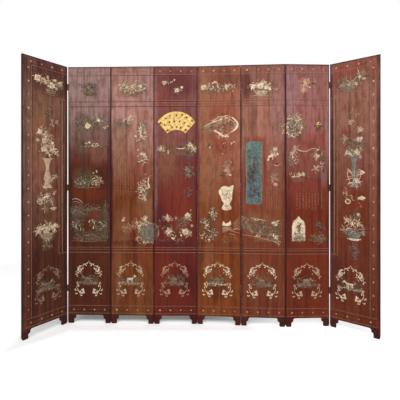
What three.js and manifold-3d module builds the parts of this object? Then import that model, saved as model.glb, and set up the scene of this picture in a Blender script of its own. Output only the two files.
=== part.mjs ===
// Eight-leaf folding lacquer screen, standing as a shallow row with its two end leaves folded forward.
// Millimetres, +Z up. The decorated fronts look towards -Y, and leaf 1 is the one at -X.
// Each leaf is a lacquered board with a bottom rail cut into bracket feet. Neighbours hang together on
// three lift-off pin hinges. The hinges change sides from fold to fold, front face then back face, so
// that the whole row closes like a concertina.

import * as THREE from "three";
import { mergeVertices } from "three/addons/utils/BufferGeometryUtils.js";
import Module from "manifold-3d";

// Leaves
const leafHeight = 2450;
const leafWidth = 410.6;
const leafThickness = 22;
const foldGap = 2.4; // between two neighbouring leaves when they stand in line
const edgeBevel = 1.5;
const jointGap = 0.3; // left between glued or touching pieces

// Bottom rail and its bracket feet
const railHeight = 162;
const archHeight = 78;
const footWidth = 52; // leaf edge to the inner side of a foot
const footHeel = 30; // straight inner side of a foot, up from the floor
const lowerScallop = 16; // radius
const cuspLedge = 1.5;
const cuspRise = 14;
const toeInset = 9; // the outer corner of a foot is cut back this far
const toeRise = 22; // and this far up

// Tongue and groove, between board and rail, and between board and edge strip
const tongueThickness = 8;
const tongueReach = 12;
const tongueSetback = 30; // from each end of the rail, and below the top of an edge strip

// Edge strips, on the free edges of the two end leaves
const stripWidth = 24;

// Hinges
const hingeHeight = 60;
const hingeFromTop = 195; // top of the leaf to the middle of the top hinge
const hingeFromRail = 176; // top of the bottom rail to the middle of the bottom hinge
const axisProud = 5; // hinge axis to the nearest leaf face
const knuckleRadius = 4.2;
const pinRadius = 2;
const pinClearance = 0.4;
const pinShort = 2; // pin end to the top of the socket
const plateThickness = 1.5;
const plateDepth = 18; // along the leaf's edge, from its face
const knuckleSegments = 16;

// Direction of each leaf in plan, in degrees from +X towards +Y
const headings = [53.5, -1.2, -1.9, 0, -4.4, -3.9, 2.2, -36.7];

const pitch = leafWidth + foldGap; // from fold axis to fold axis
const wasm = await Module();
wasm.setup();

// A closed geometry as a solid that can be joined and cut.
function solidFrom(geometry) {
  const bare = geometry.clone();
  bare.deleteAttribute("normal");
  bare.deleteAttribute("uv");
  const merged = mergeVertices(bare, 1e-4);
  return new wasm.Manifold(
    new wasm.Mesh({
      numProp: 3,
      vertProperties: new Float32Array(merged.attributes.position.array),
      triVerts: new Uint32Array(merged.index.array),
    }),
  );
}

function geometryFrom(solid) {
  const mesh = solid.getMesh();
  const geometry = new THREE.BufferGeometry();
  geometry.setAttribute("position", new THREE.BufferAttribute(mesh.vertProperties, 3));
  geometry.setIndex(new THREE.BufferAttribute(mesh.triVerts, 1));
  const flat = geometry.toNonIndexed();
  flat.computeVertexNormals();
  return flat;
}

function box(low, high) {
  const size = high.map((value, i) => value - low[i]);
  const geometry = new THREE.BoxGeometry(...size);
  geometry.translate(...low.map((value, i) => value + size[i] / 2));
  return geometry;
}

// An outline drawn on the leaf's face (u across, z up), given the leaf's thickness and bevelled edges.
function slab(outline) {
  const geometry = new THREE.ExtrudeGeometry(outline, {
    depth: leafThickness - 2 * edgeBevel,
    bevelEnabled: true,
    bevelThickness: edgeBevel,
    bevelSize: edgeBevel,
    bevelOffset: -edgeBevel,
    bevelSegments: 1,
    curveSegments: 8,
  });
  geometry.rotateX(Math.PI / 2);
  geometry.translate(0, leafThickness - edgeBevel, 0);
  return geometry;
}

function rectangle(left, right, bottom, top) {
  const outline = new THREE.Shape();
  outline.moveTo(left, bottom);
  outline.lineTo(right, bottom);
  outline.lineTo(right, top);
  outline.lineTo(left, top);
  outline.closePath();
  return outline;
}

const leafLeft = foldGap / 2; // u of the leaf's edges, with u = 0 on the left fold axis
const leafRight = leafLeft + leafWidth;
const tongueFront = (leafThickness - tongueThickness) / 2;
const tongueBack = tongueFront + tongueThickness;
const hingeTop = leafHeight - hingeFromTop;
const hingeBottom = railHeight + hingeFromRail;
const hingeCentres = { top: hingeTop, middle: (hingeTop + hingeBottom) / 2, bottom: hingeBottom };

// The rail's underside: toe, heel, lower scallop, cusp and upper scallop of each foot, with the arch between.
function railOutline() {
  const outline = new THREE.Shape();
  const heel = leafLeft + footWidth;
  const cusp = heel + lowerScallop + cuspLedge;
  const cuspTop = footHeel + lowerScallop + cuspRise;
  const upperScallop = archHeight - cuspTop;
  const mirror = (u) => leafLeft + leafRight - u;
  outline.moveTo(leafLeft, toeRise);
  outline.quadraticCurveTo(leafLeft + toeInset / 3, toeRise / 5, leafLeft + toeInset, 0);
  outline.lineTo(heel, 0);
  outline.lineTo(heel, footHeel);
  outline.absarc(heel + lowerScallop, footHeel, lowerScallop, Math.PI, Math.PI / 2, true);
  outline.lineTo(cusp, footHeel + lowerScallop);
  outline.lineTo(cusp, cuspTop);
  outline.absarc(cusp + upperScallop, cuspTop, upperScallop, Math.PI, Math.PI / 2, true);
  outline.lineTo(mirror(cusp + upperScallop), archHeight);
  outline.absarc(mirror(cusp + upperScallop), cuspTop, upperScallop, Math.PI / 2, 0, true);
  outline.lineTo(mirror(cusp), footHeel + lowerScallop);
  outline.lineTo(mirror(heel + lowerScallop), footHeel + lowerScallop);
  outline.absarc(mirror(heel + lowerScallop), footHeel, lowerScallop, Math.PI / 2, 0, true);
  outline.lineTo(mirror(heel), 0);
  outline.lineTo(leafRight - toeInset, 0);
  outline.quadraticCurveTo(leafRight - toeInset / 3, toeRise / 5, leafRight, toeRise);
  outline.lineTo(leafRight, railHeight);
  outline.lineTo(leafLeft, railHeight);
  outline.closePath();
  return outline;
}

function footRail() {
  const left = leafLeft + tongueSetback;
  const right = leafRight - tongueSetback;
  const root = railHeight - edgeBevel;
  const tongue = box([left, tongueFront, root], [right, tongueBack, railHeight + tongueReach]);
  return geometryFrom(solidFrom(slab(railOutline())).add(solidFrom(tongue)));
}

// Where the board of a leaf begins and ends: an end leaf gives up its free edge to a strip.
function boardSpan(leaf) {
  const room = stripWidth + jointGap;
  return {
    left: leafLeft + (leaf === 0 ? room : 0),
    right: leafRight - (leaf === headings.length - 1 ? room : 0),
    bottom: railHeight + jointGap,
  };
}

function board(leaf) {
  const { left, right, bottom } = boardSpan(leaf);
  let solid = solidFrom(slab(rectangle(left, right, bottom, leafHeight)));
  const groove = box(
    [leafLeft + tongueSetback - jointGap, tongueFront - jointGap, bottom - 1],
    [leafRight - tongueSetback + jointGap, tongueBack + jointGap, railHeight + tongueReach + jointGap],
  );
  solid = solid.subtract(solidFrom(groove));
  if (hasStrip(leaf)) solid = solid.subtract(solidFrom(stripGroove(leaf)));
  for (const fold of foldsOf(leaf)) {
    for (const centre of Object.values(hingeCentres)) {
      solid = solid.subtract(solidFrom(plateRecess(fold, centre)));
    }
  }
  return geometryFrom(solid);
}

const hasStrip = (leaf) => leaf === 0 || leaf === headings.length - 1;

// The strip's tongue points inwards, towards the board, over this span of u.
function stripTongueSpan(leaf) {
  const inner = leaf === 0 ? leafLeft + stripWidth : leafRight - stripWidth;
  const towardsBoard = leaf === 0 ? 1 : -1;
  const ends = [inner - towardsBoard * edgeBevel, inner + towardsBoard * tongueReach];
  return { low: Math.min(...ends), high: Math.max(...ends) };
}

const stripTongueBottom = railHeight + tongueReach + tongueSetback;
const stripTongueTop = leafHeight - tongueSetback;

function stripGroove(leaf) {
  const { low, high } = stripTongueSpan(leaf);
  return box(
    [low - jointGap, tongueFront - jointGap, stripTongueBottom - jointGap],
    [high + jointGap, tongueBack + jointGap, stripTongueTop + jointGap],
  );
}

function edgeStrip(leaf) {
  const left = leaf === 0 ? leafLeft : leafRight - stripWidth;
  const bar = slab(rectangle(left, left + stripWidth, railHeight + jointGap, leafHeight));
  const { low, high } = stripTongueSpan(leaf);
  const tongue = box([low, tongueFront, stripTongueBottom], [high, tongueBack, stripTongueTop]);
  return geometryFrom(solidFrom(bar).add(solidFrom(tongue)));
}

// A fold: which edge of the leaf it is on (side -1 left, 1 right), and which face its hinges stand on
// (face 1 front, -1 back). Fold n joins leaf n - 1 to leaf n, counted from 0.
function foldsOf(leaf) {
  const face = (fold) => (fold % 2 === 1 ? 1 : -1);
  const folds = [];
  if (leaf > 0) folds.push({ number: leaf, side: -1, face: face(leaf) });
  if (leaf < headings.length - 1) folds.push({ number: leaf + 1, side: 1, face: face(leaf + 1) });
  return folds;
}

// The fold's axis in the leaf's own u and v.
function axisOf(fold) {
  return {
    u: fold.side < 0 ? 0 : pitch,
    v: fold.face > 0 ? -axisProud : leafThickness + axisProud,
  };
}

// The shallow mortise in the board's edge that takes one hinge plate.
function plateRecess(fold, centre) {
  const depth = plateThickness + jointGap;
  const reach = plateDepth + jointGap;
  const outside = foldGap / 4;
  const u = fold.side < 0 ? [leafLeft - outside, leafLeft + depth] : [leafRight - depth, leafRight + outside];
  const v = fold.face > 0 ? [-outside, reach] : [leafThickness - reach, leafThickness + outside];
  const half = hingeHeight / 2 + jointGap;
  return box([u[0], v[0], centre - half], [u[1], v[1], centre + half]);
}

// Section of a hinge half through its knuckle: the plate runs forward from the leaf's edge and curls
// into the barrel round the axis. x is across the fold, y runs from the axis towards the leaf.
function knuckleSection(side, bore) {
  const near = foldGap / 2;
  const far = near + plateThickness;
  const nearAngle = Math.acos(near / knuckleRadius);
  const farAngle = Math.acos(far / knuckleRadius);
  const back = axisProud + plateDepth;
  const section = new THREE.Shape();
  section.moveTo(side * near, back);
  section.lineTo(side * near, knuckleRadius * Math.sin(nearAngle));
  const from = side > 0 ? nearAngle : Math.PI - nearAngle;
  const to = side > 0 ? farAngle : Math.PI - farAngle;
  section.absarc(0, 0, knuckleRadius, from, to, side < 0);
  section.lineTo(side * far, back);
  section.closePath();
  if (bore) {
    const hole = new THREE.Path();
    hole.absarc(0, 0, pinRadius + pinClearance, 0, 2 * Math.PI, false);
    section.holes.push(hole);
  }
  return section;
}

function risen(section, low, high) {
  const geometry = new THREE.ExtrudeGeometry(section, {
    depth: high - low,
    bevelEnabled: false,
    curveSegments: knuckleSegments,
  });
  geometry.translate(0, 0, low);
  return geometry;
}

// One half of a lift-off hinge, centred on its axis. The pintle is the lower knuckle with the pin
// standing in it, and the socket is the upper knuckle that drops over the pin.
function hingeHalf(kind, side) {
  const half = hingeHeight / 2;
  const near = foldGap / 2;
  const far = near + plateThickness;
  const across = side > 0 ? [near, far] : [-far, -near];
  const plate = box([across[0], axisProud, -half], [across[1], axisProud + plateDepth, half]);
  const socket = kind === "socket";
  const low = socket ? jointGap / 2 : -half;
  const high = socket ? half : -jointGap / 2;
  let solid = solidFrom(plate).add(solidFrom(risen(knuckleSection(side, socket), low, high)));
  if (!socket) {
    const root = knuckleRadius; // how far the pin goes down into its knuckle
    const pin = new THREE.CylinderGeometry(pinRadius, pinRadius, half - pinShort + root, knuckleSegments);
    pin.rotateX(Math.PI / 2);
    pin.translate(0, 0, (half - pinShort - root) / 2);
    solid = solid.add(solidFrom(pin));
  }
  return geometryFrom(solid);
}

const lacquer = new THREE.MeshStandardMaterial({ color: 0x6b2f22, roughness: 0.42, metalness: 0 });
const darkLacquer = new THREE.MeshStandardMaterial({ color: 0x4a1f1e, roughness: 0.45, metalness: 0 });
const darkEdge = new THREE.MeshStandardMaterial({ color: 0x3a1a1c, roughness: 0.5, metalness: 0 });
const iron = new THREE.MeshStandardMaterial({ color: 0x2b2422, roughness: 0.55, metalness: 0.9 });

function piece(name, geometry, material) {
  const mesh = new THREE.Mesh(geometry, material);
  mesh.name = name;
  return mesh;
}

// Every leaf is a group in its own frame: x along the leaf from its left fold axis, y from the front
// face to the back, z up.
function leafGroup(leaf) {
  const group = new THREE.Group();
  const number = leaf + 1;
  group.add(piece(`leaf_${number}_board`, board(leaf), lacquer));
  group.add(piece(`leaf_${number}_foot_rail`, footRail(), darkLacquer));
  if (hasStrip(leaf)) group.add(piece(`leaf_${number}_edge_strip`, edgeStrip(leaf), darkEdge));
  for (const fold of foldsOf(leaf)) {
    const kind = fold.side > 0 ? "pintle" : "socket";
    const geometry = hingeHalf(kind, -fold.side * fold.face);
    const { u, v } = axisOf(fold);
    for (const [place, centre] of Object.entries(hingeCentres)) {
      const half = piece(`fold_${fold.number}_${place}_hinge_${kind}`, geometry, iron);
      half.position.set(u, v, centre);
      half.rotation.z = fold.face > 0 ? 0 : Math.PI;
      group.add(half);
    }
  }
  return group;
}

// The leaves are set out from left to right, each one turned about the fold axis that it shares with
// the leaf before it.
const screen = new THREE.Group();
const corner = new THREE.Vector2();
headings.forEach((degrees, leaf) => {
  const heading = THREE.MathUtils.degToRad(degrees);
  const across = new THREE.Vector2(Math.cos(heading), Math.sin(heading));
  const through = new THREE.Vector2(-Math.sin(heading), Math.cos(heading));
  const [left] = foldsOf(leaf).filter((fold) => fold.side < 0);
  if (left) corner.addScaledVector(through, -axisOf(left).v);
  const group = leafGroup(leaf);
  group.position.set(corner.x, corner.y, 0);
  group.rotation.z = heading;
  screen.add(group);
  corner.addScaledVector(across, pitch);
  const [right] = foldsOf(leaf).filter((fold) => fold.side > 0);
  if (right) corner.addScaledVector(through, axisOf(right).v);
});

// The origin is on the floor, under the middle of the whole screen.
screen.updateMatrixWorld(true);
const bounds = new THREE.Box3().setFromObject(screen, true);
const centre = bounds.getCenter(new THREE.Vector3());
screen.position.set(-centre.x, -centre.y, 0);

export default screen;
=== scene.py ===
import math
import random

import bmesh
import bpy
from mathutils import Matrix, Vector


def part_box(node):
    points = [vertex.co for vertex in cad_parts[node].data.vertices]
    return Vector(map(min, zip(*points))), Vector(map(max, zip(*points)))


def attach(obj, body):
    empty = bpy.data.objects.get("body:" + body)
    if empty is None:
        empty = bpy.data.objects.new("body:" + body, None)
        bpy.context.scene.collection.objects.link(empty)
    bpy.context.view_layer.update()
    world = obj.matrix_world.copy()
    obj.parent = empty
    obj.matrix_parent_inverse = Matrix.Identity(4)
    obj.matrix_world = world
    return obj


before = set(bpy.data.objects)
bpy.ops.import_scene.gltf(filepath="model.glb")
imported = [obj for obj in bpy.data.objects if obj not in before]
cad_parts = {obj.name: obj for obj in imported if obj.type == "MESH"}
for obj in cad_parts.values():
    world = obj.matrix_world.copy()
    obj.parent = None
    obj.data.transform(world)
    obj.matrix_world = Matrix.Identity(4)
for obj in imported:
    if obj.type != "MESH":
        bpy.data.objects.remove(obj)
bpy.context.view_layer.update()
mm = 0.001
print("frame loaded:", len(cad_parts), "parts")


# the camera comes first, because everything else is judged through it
view = {
    "eye": (-0.014, -2.824, 1.388),  # metres, in the screen's own frame
    "lens": 28.0,
    "sensor": 36,
    "shiftY": -0.0551,  # the camera is level and the horizon is above the middle of the picture
}


def placeCamera():
    data = bpy.data.cameras.new("camera")
    data.lens = view["lens"]
    data.sensor_width = view["sensor"]
    data.shift_y = view["shiftY"]
    camera = bpy.data.objects.new("camera", data)
    camera.location = view["eye"]
    camera.rotation_euler = (math.radians(90), 0, 0)
    bpy.context.scene.collection.objects.link(camera)
    bpy.context.scene.camera = camera


placeCamera()


# a leaf's own frame: x along it from its left edge, y through it from the front, z up
def leafFrame(number):
    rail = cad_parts["leaf_%d_foot_rail" % number].data
    front = max(rail.polygons, key=lambda face: face.area if face.normal.y < -0.1 else 0)
    out = Vector((front.normal.x, front.normal.y, 0)).normalized()
    across = Vector((-out.y, out.x, 0))
    left = min(corner.co.dot(across) for corner in rail.vertices)
    face = max(corner.co.dot(out) for corner in rail.vertices)
    place = Matrix.Identity(4)
    place.col[0].xyz = across
    place.col[1].xyz = -out
    place.col[2].xyz = (0, 0, 1)
    place.col[3].xyz = across * left + out * face
    return place


leafCount = sum(name.endswith("_board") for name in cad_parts)
leafPlaces = {number: leafFrame(number) for number in range(1, leafCount + 1)}
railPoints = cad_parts["leaf_4_foot_rail"].data.vertices
railCorners = [leafPlaces[4].inverted() @ point.co for point in railPoints]
leafWidth = max(corner.x for corner in railCorners) / mm
leafDepth = max(corner.y for corner in railCorners) / mm
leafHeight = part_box("leaf_4_board")[1].z / mm
print("leaf %.0f x %.0f x %.0f mm" % (leafWidth, leafDepth, leafHeight))


def paint(red, green, blue):  # a colour as a paint chart gives it, 0 to 255, made linear
    def linear(value):
        value /= 255
        return value / 12.92 if value <= 0.04045 else ((value + 0.055) / 1.055) ** 2.4
    return (linear(red), linear(green), linear(blue), 1)


def put(tree, kind, inputs=None, **settings):
    made = tree.nodes.new("ShaderNode" + kind)
    for key, value in settings.items():
        setattr(made, key, value)
    for key, value in (inputs or {}).items():
        if isinstance(value, bpy.types.NodeSocket):
            tree.links.new(value, made.inputs[key])
        else:
            made.inputs[key].default_value = value
    return made


def mixed(tree, factor, first, second):
    return put(tree, "Mix", {0: factor, 6: first, 7: second}, data_type="RGBA").outputs[2]


def sums(tree, operation, first, second, clamp=False):
    return put(tree, "Math", {0: first, 1: second}, operation=operation, use_clamp=clamp).outputs[0]


# the tint comes in as the value goes from low to high
def tinted(tree, colour, tint, value, low, high, most):
    return mixed(tree, window(tree, value, low, high, 0.0, most), colour, tint)


def window(tree, value, low, high, toLow=0.0, toHigh=1.0, smooth=True):
    kind = "SMOOTHSTEP" if smooth else "LINEAR"
    inputs = {"Value": value, "From Min": low, "From Max": high, "To Min": toLow, "To Max": toHigh}
    return put(tree, "MapRange", inputs, interpolation_type=kind).outputs[0]


def grain(tree, where, stretch, detail=3.0, rough=0.55, shift=(0, 0, 0)):  # noise stretched along the axes
    moved = put(tree, "Mapping", {"Vector": where, "Scale": stretch, "Location": shift}).outputs[0]
    return put(tree, "TexNoise", {"Vector": moved, "Scale": 1.0, "Detail": detail,
                                  "Roughness": rough}).outputs[0]


def bumped(tree, height, strength, distance):
    return put(tree, "Bump", {"Height": height, "Strength": strength, "Distance": distance}).outputs[0]


def newMaterial(name):
    material = bpy.data.materials.new(name)
    material.use_nodes = True
    tree = material.node_tree
    shader = next(n for n in tree.nodes if n.type == "BSDF_PRINCIPLED")
    return material, tree, shader


def joined(tree, shader, **sockets):
    for name, value in sockets.items():
        tree.links.new(value, shader.inputs[name.replace("_", " ")])


lacquer = {
    "specular": 0.07,
    "plankWidth": 0.085,  # metres: the tone changes from plank to plank under the ground coat
    "streakWidth": 0.024,
    "grainWidth": 0.0035,
    # footShade is the height below which, and edgeShade the width within which, shade is painted on a leaf
    "footShade": 0.098,
    "edgeShade": 0.010,
    "coatCrackle": 38,  # cells in a metre
    "bump": 0.35,
    "blackBack": paint(34, 20, 18),
    "edge": paint(36, 14, 18),
    "foot": paint(58, 26, 25),
    "crack": paint(48, 20, 16),
}

washTints = {  # soft stains and tones, shared by all leaves; dusk, and plum in narrow strips along side edges, also serve as painted shade
    "plum": paint(74, 34, 40),
    "mauve": paint(150, 112, 112),
    "tan": paint(142, 100, 72),
    "russet": paint(122, 54, 30),
    "brick": paint(140, 60, 48),
    "olive": paint(98, 86, 66),
    "dusk": paint(46, 20, 20),
    "rose": paint(158, 100, 88),
    "sand": paint(176, 124, 98),
}

# deep is low on a leaf, warm is what shows in the planks, and the third tint is a painted reflection that
# begins at a height and is full at another; a wash is its middle (u, z), its half width and height in mm, its
# tint and its strength
# the wide dusk washes across the tops of leaves 3 to 8, and the narrow dusk and plum washes along a side
# edge, are painted shade: darker at the top and where the leaves meet
leafFinish = {
    1: dict(deep=paint(74, 36, 28), warm=paint(104, 60, 40), sheenTint=paint(142, 104, 86), paintedSheen=(0.6, 1.6, 0.62),
            washes=(
        (210, 2330, 300, 210, "plum", 0.80), (50, 1500, 45, 1000, "mauve", 0.24),
        (160, 1700, 110, 380, "tan", 0.85), (170, 1700, 70, 220, "rose", 0.4),
        (120, 1400, 90, 170, "rose", 0.38), (300, 1500, 60, 620, "brick", 0.36),
        (400, 1300, 24, 1500, "dusk", 0.85), (200, 480, 260, 420, "dusk", 0.30),
        (240, 1150, 90, 260, "tan", 0.25))),
    2: dict(deep=paint(70, 32, 22), warm=paint(94, 48, 28), sheenTint=paint(150, 120, 114),
            paintedSheen=(1.45, 2.15, 0.95),
            washes=(
        (330, 2180, 120, 300, "mauve", 0.42), (190, 1900, 190, 110, "olive", 0.55),
        (130, 1700, 120, 90, "olive", 0.45), (290, 1640, 130, 130, "rose", 0.35),
        (150, 1400, 110, 110, "olive", 0.60), (200, 1240, 190, 70, "russet", 0.45),
        (110, 1040, 100, 90, "olive", 0.62), (345, 960, 60, 200, "olive", 0.62),
        (220, 840, 150, 60, "olive", 0.45), (240, 1040, 70, 50, "brick", 0.55),
        (8, 1250, 26, 1000, "dusk", 0.7), (398, 1250, 24, 900, "plum", 0.65))),
    3: dict(deep=paint(96, 46, 26), warm=paint(136, 80, 42), sheenTint=paint(176, 130, 118),
            paintedSheen=(1.2, 2.0, 0.92),
            washes=(
        (205, 2470, 420, 330, "dusk", 0.26), (330, 2230, 90, 230, "mauve", 0.50),
        (190, 2215, 130, 70, "olive", 0.48), (90, 1890, 100, 60, "olive", 0.5),
        (90, 1650, 100, 280, "tan", 0.55), (320, 1900, 80, 220, "rose", 0.5),
        (250, 1480, 130, 200, "brick", 0.32), (340, 1080, 90, 240, "tan", 0.7),
        (110, 900, 80, 220, "tan", 0.42), (250, 990, 60, 110, "brick", 0.45),
        (4, 1150, 20, 800, "dusk", 0.85), (330, 640, 120, 120, "russet", 0.4),
        (205, 768, 420, 30, "dusk", 0.5), (230, 560, 50, 330, "dusk", 0.35), (75, 480, 40, 300, "tan", 0.4))),
    4: dict(deep=paint(98, 34, 28), warm=paint(112, 46, 32), sheenTint=paint(134, 88, 84), paintedSheen=(1.0, 2.0, 0.62),
            washes=(
        (205, 2470, 420, 330, "dusk", 0.10), (240, 2280, 190, 140, "plum", 0.62),
        (70, 2150, 80, 120, "brick", 0.4), (18, 1650, 22, 800, "mauve", 0.5),
        (230, 1720, 150, 90, "plum", 0.62), (300, 1670, 120, 90, "olive", 0.42),
        (60, 1010, 55, 150, "plum", 0.75), (260, 1120, 150, 330, "brick", 0.45),
        (120, 1560, 110, 260, "tan", 0.5), (240, 1760, 160, 120, "rose", 0.4),
        (400, 1250, 18, 1100, "plum", 0.7), (290, 420, 140, 160, "dusk", 0.5),
        (110, 480, 80, 200, "russet", 0.5), (205, 764, 420, 44, "plum", 0.5),
        (200, 700, 60, 120, "plum", 0.6))),
    5: dict(deep=paint(106, 48, 26), warm=paint(142, 78, 38), sheenTint=paint(164, 104, 84),
            paintedSheen=(0.9, 1.8, 0.70),
            washes=(
        (205, 2470, 420, 330, "dusk", 0.26), (70, 1980, 90, 480, "tan", 0.50),
        (250, 1980, 170, 210, "brick", 0.42), (190, 2225, 140, 50, "olive", 0.55),
        (280, 2320, 170, 90, "plum", 0.42), (230, 1700, 100, 110, "brick", 0.6),
        (110, 1400, 110, 300, "tan", 0.5), (300, 1100, 130, 260, "russet", 0.5),
        (110, 930, 110, 140, "olive", 0.35), (403, 1750, 14, 700, "mauve", 0.5),
        (210, 330, 120, 130, "dusk", 0.5), (8, 1200, 16, 1100, "plum", 0.7), (205, 766, 420, 26, "plum", 0.4),
        (20, 600, 30, 260, "dusk", 0.5), (120, 620, 50, 200, "tan", 0.35))),
    6: dict(deep=paint(106, 50, 34), warm=paint(134, 74, 46), sheenTint=paint(162, 112, 98),
            paintedSheen=(0.9, 2.0, 0.72),
            washes=(
        (205, 2470, 420, 330, "dusk", 0.28), (40, 2260, 60, 170, "plum", 0.85),
        (112, 1960, 34, 270, "plum", 0.45), (178, 1960, 34, 250, "sand", 0.75),
        (270, 1950, 90, 300, "rose", 0.45), (345, 2050, 80, 330, "mauve", 0.5),
        (60, 1900, 45, 260, "tan", 0.5), (120, 1735, 120, 50, "brick", 0.7),
        (225, 1400, 24, 330, "brick", 0.75), (28, 1350, 20, 300, "brick", 0.5),
        (170, 1060, 200, 60, "russet", 0.45), (190, 960, 210, 130, "tan", 0.6),
        (230, 930, 190, 100, "olive", 0.35), (10, 500, 26, 460, "plum", 0.65),
        (300, 660, 150, 140, "russet", 0.4), (403, 1300, 14, 1100, "plum", 0.5))),
    7: dict(deep=paint(104, 40, 24), warm=paint(122, 54, 32), sheenTint=paint(158, 106, 102),
            paintedSheen=(1.05, 2.0, 0.78),
            washes=(
        (205, 2470, 420, 330, "dusk", 0.20), (50, 2180, 75, 270, "mauve", 0.85),
        (110, 1860, 110, 130, "olive", 0.42), (250, 1900, 120, 200, "rose", 0.4),
        (280, 1700, 180, 150, "brick", 0.5), (392, 1900, 26, 400, "mauve", 0.55),
        (350, 1420, 60, 130, "mauve", 0.4), (220, 1250, 200, 160, "brick", 0.4),
        (22, 950, 32, 330, "plum", 0.8), (290, 920, 120, 180, "russet", 0.55),
        (402, 1350, 16, 150, "dusk", 0.8), (170, 400, 130, 130, "dusk", 0.35))),
    8: dict(deep=paint(96, 42, 26), warm=paint(120, 60, 40), sheenTint=paint(156, 108, 94), paintedSheen=(1.0, 2.0, 0.74),
            washes=(
        (205, 2470, 420, 330, "dusk", 0.26), (210, 2330, 260, 130, "brick", 0.6),
        (220, 2000, 130, 220, "tan", 0.4), (120, 1750, 90, 130, "brick", 0.4),
        (60, 1500, 36, 600, "olive", 0.40), (12, 1300, 22, 1400, "dusk", 0.88),
        (360, 1500, 36, 900, "rose", 0.45), (400, 1250, 18, 1300, "plum", 0.7),
        (220, 1050, 110, 300, "russet", 0.5), (60, 480, 90, 330, "plum", 0.6),
        (190, 380, 40, 90, "plum", 0.7))),
}


def wash(tree, where, cloudy, colour, u, z, halfWidth, halfHeight, tint, strength):
    scale = (1 / (halfWidth * mm), 0, 1 / (halfHeight * mm))
    shift = (-u / halfWidth, 0, -z / halfHeight)
    local = put(tree, "Mapping", {"Vector": where, "Scale": scale, "Location": shift}).outputs[0]
    far = put(tree, "VectorMath", {0: local}, operation="LENGTH").outputs[1]
    ragged = sums(tree, "ADD", far, cloudy)
    return mixed(tree, window(tree, ragged, 1.25, 0.35, 0.0, strength), colour, washTints[tint])


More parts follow.
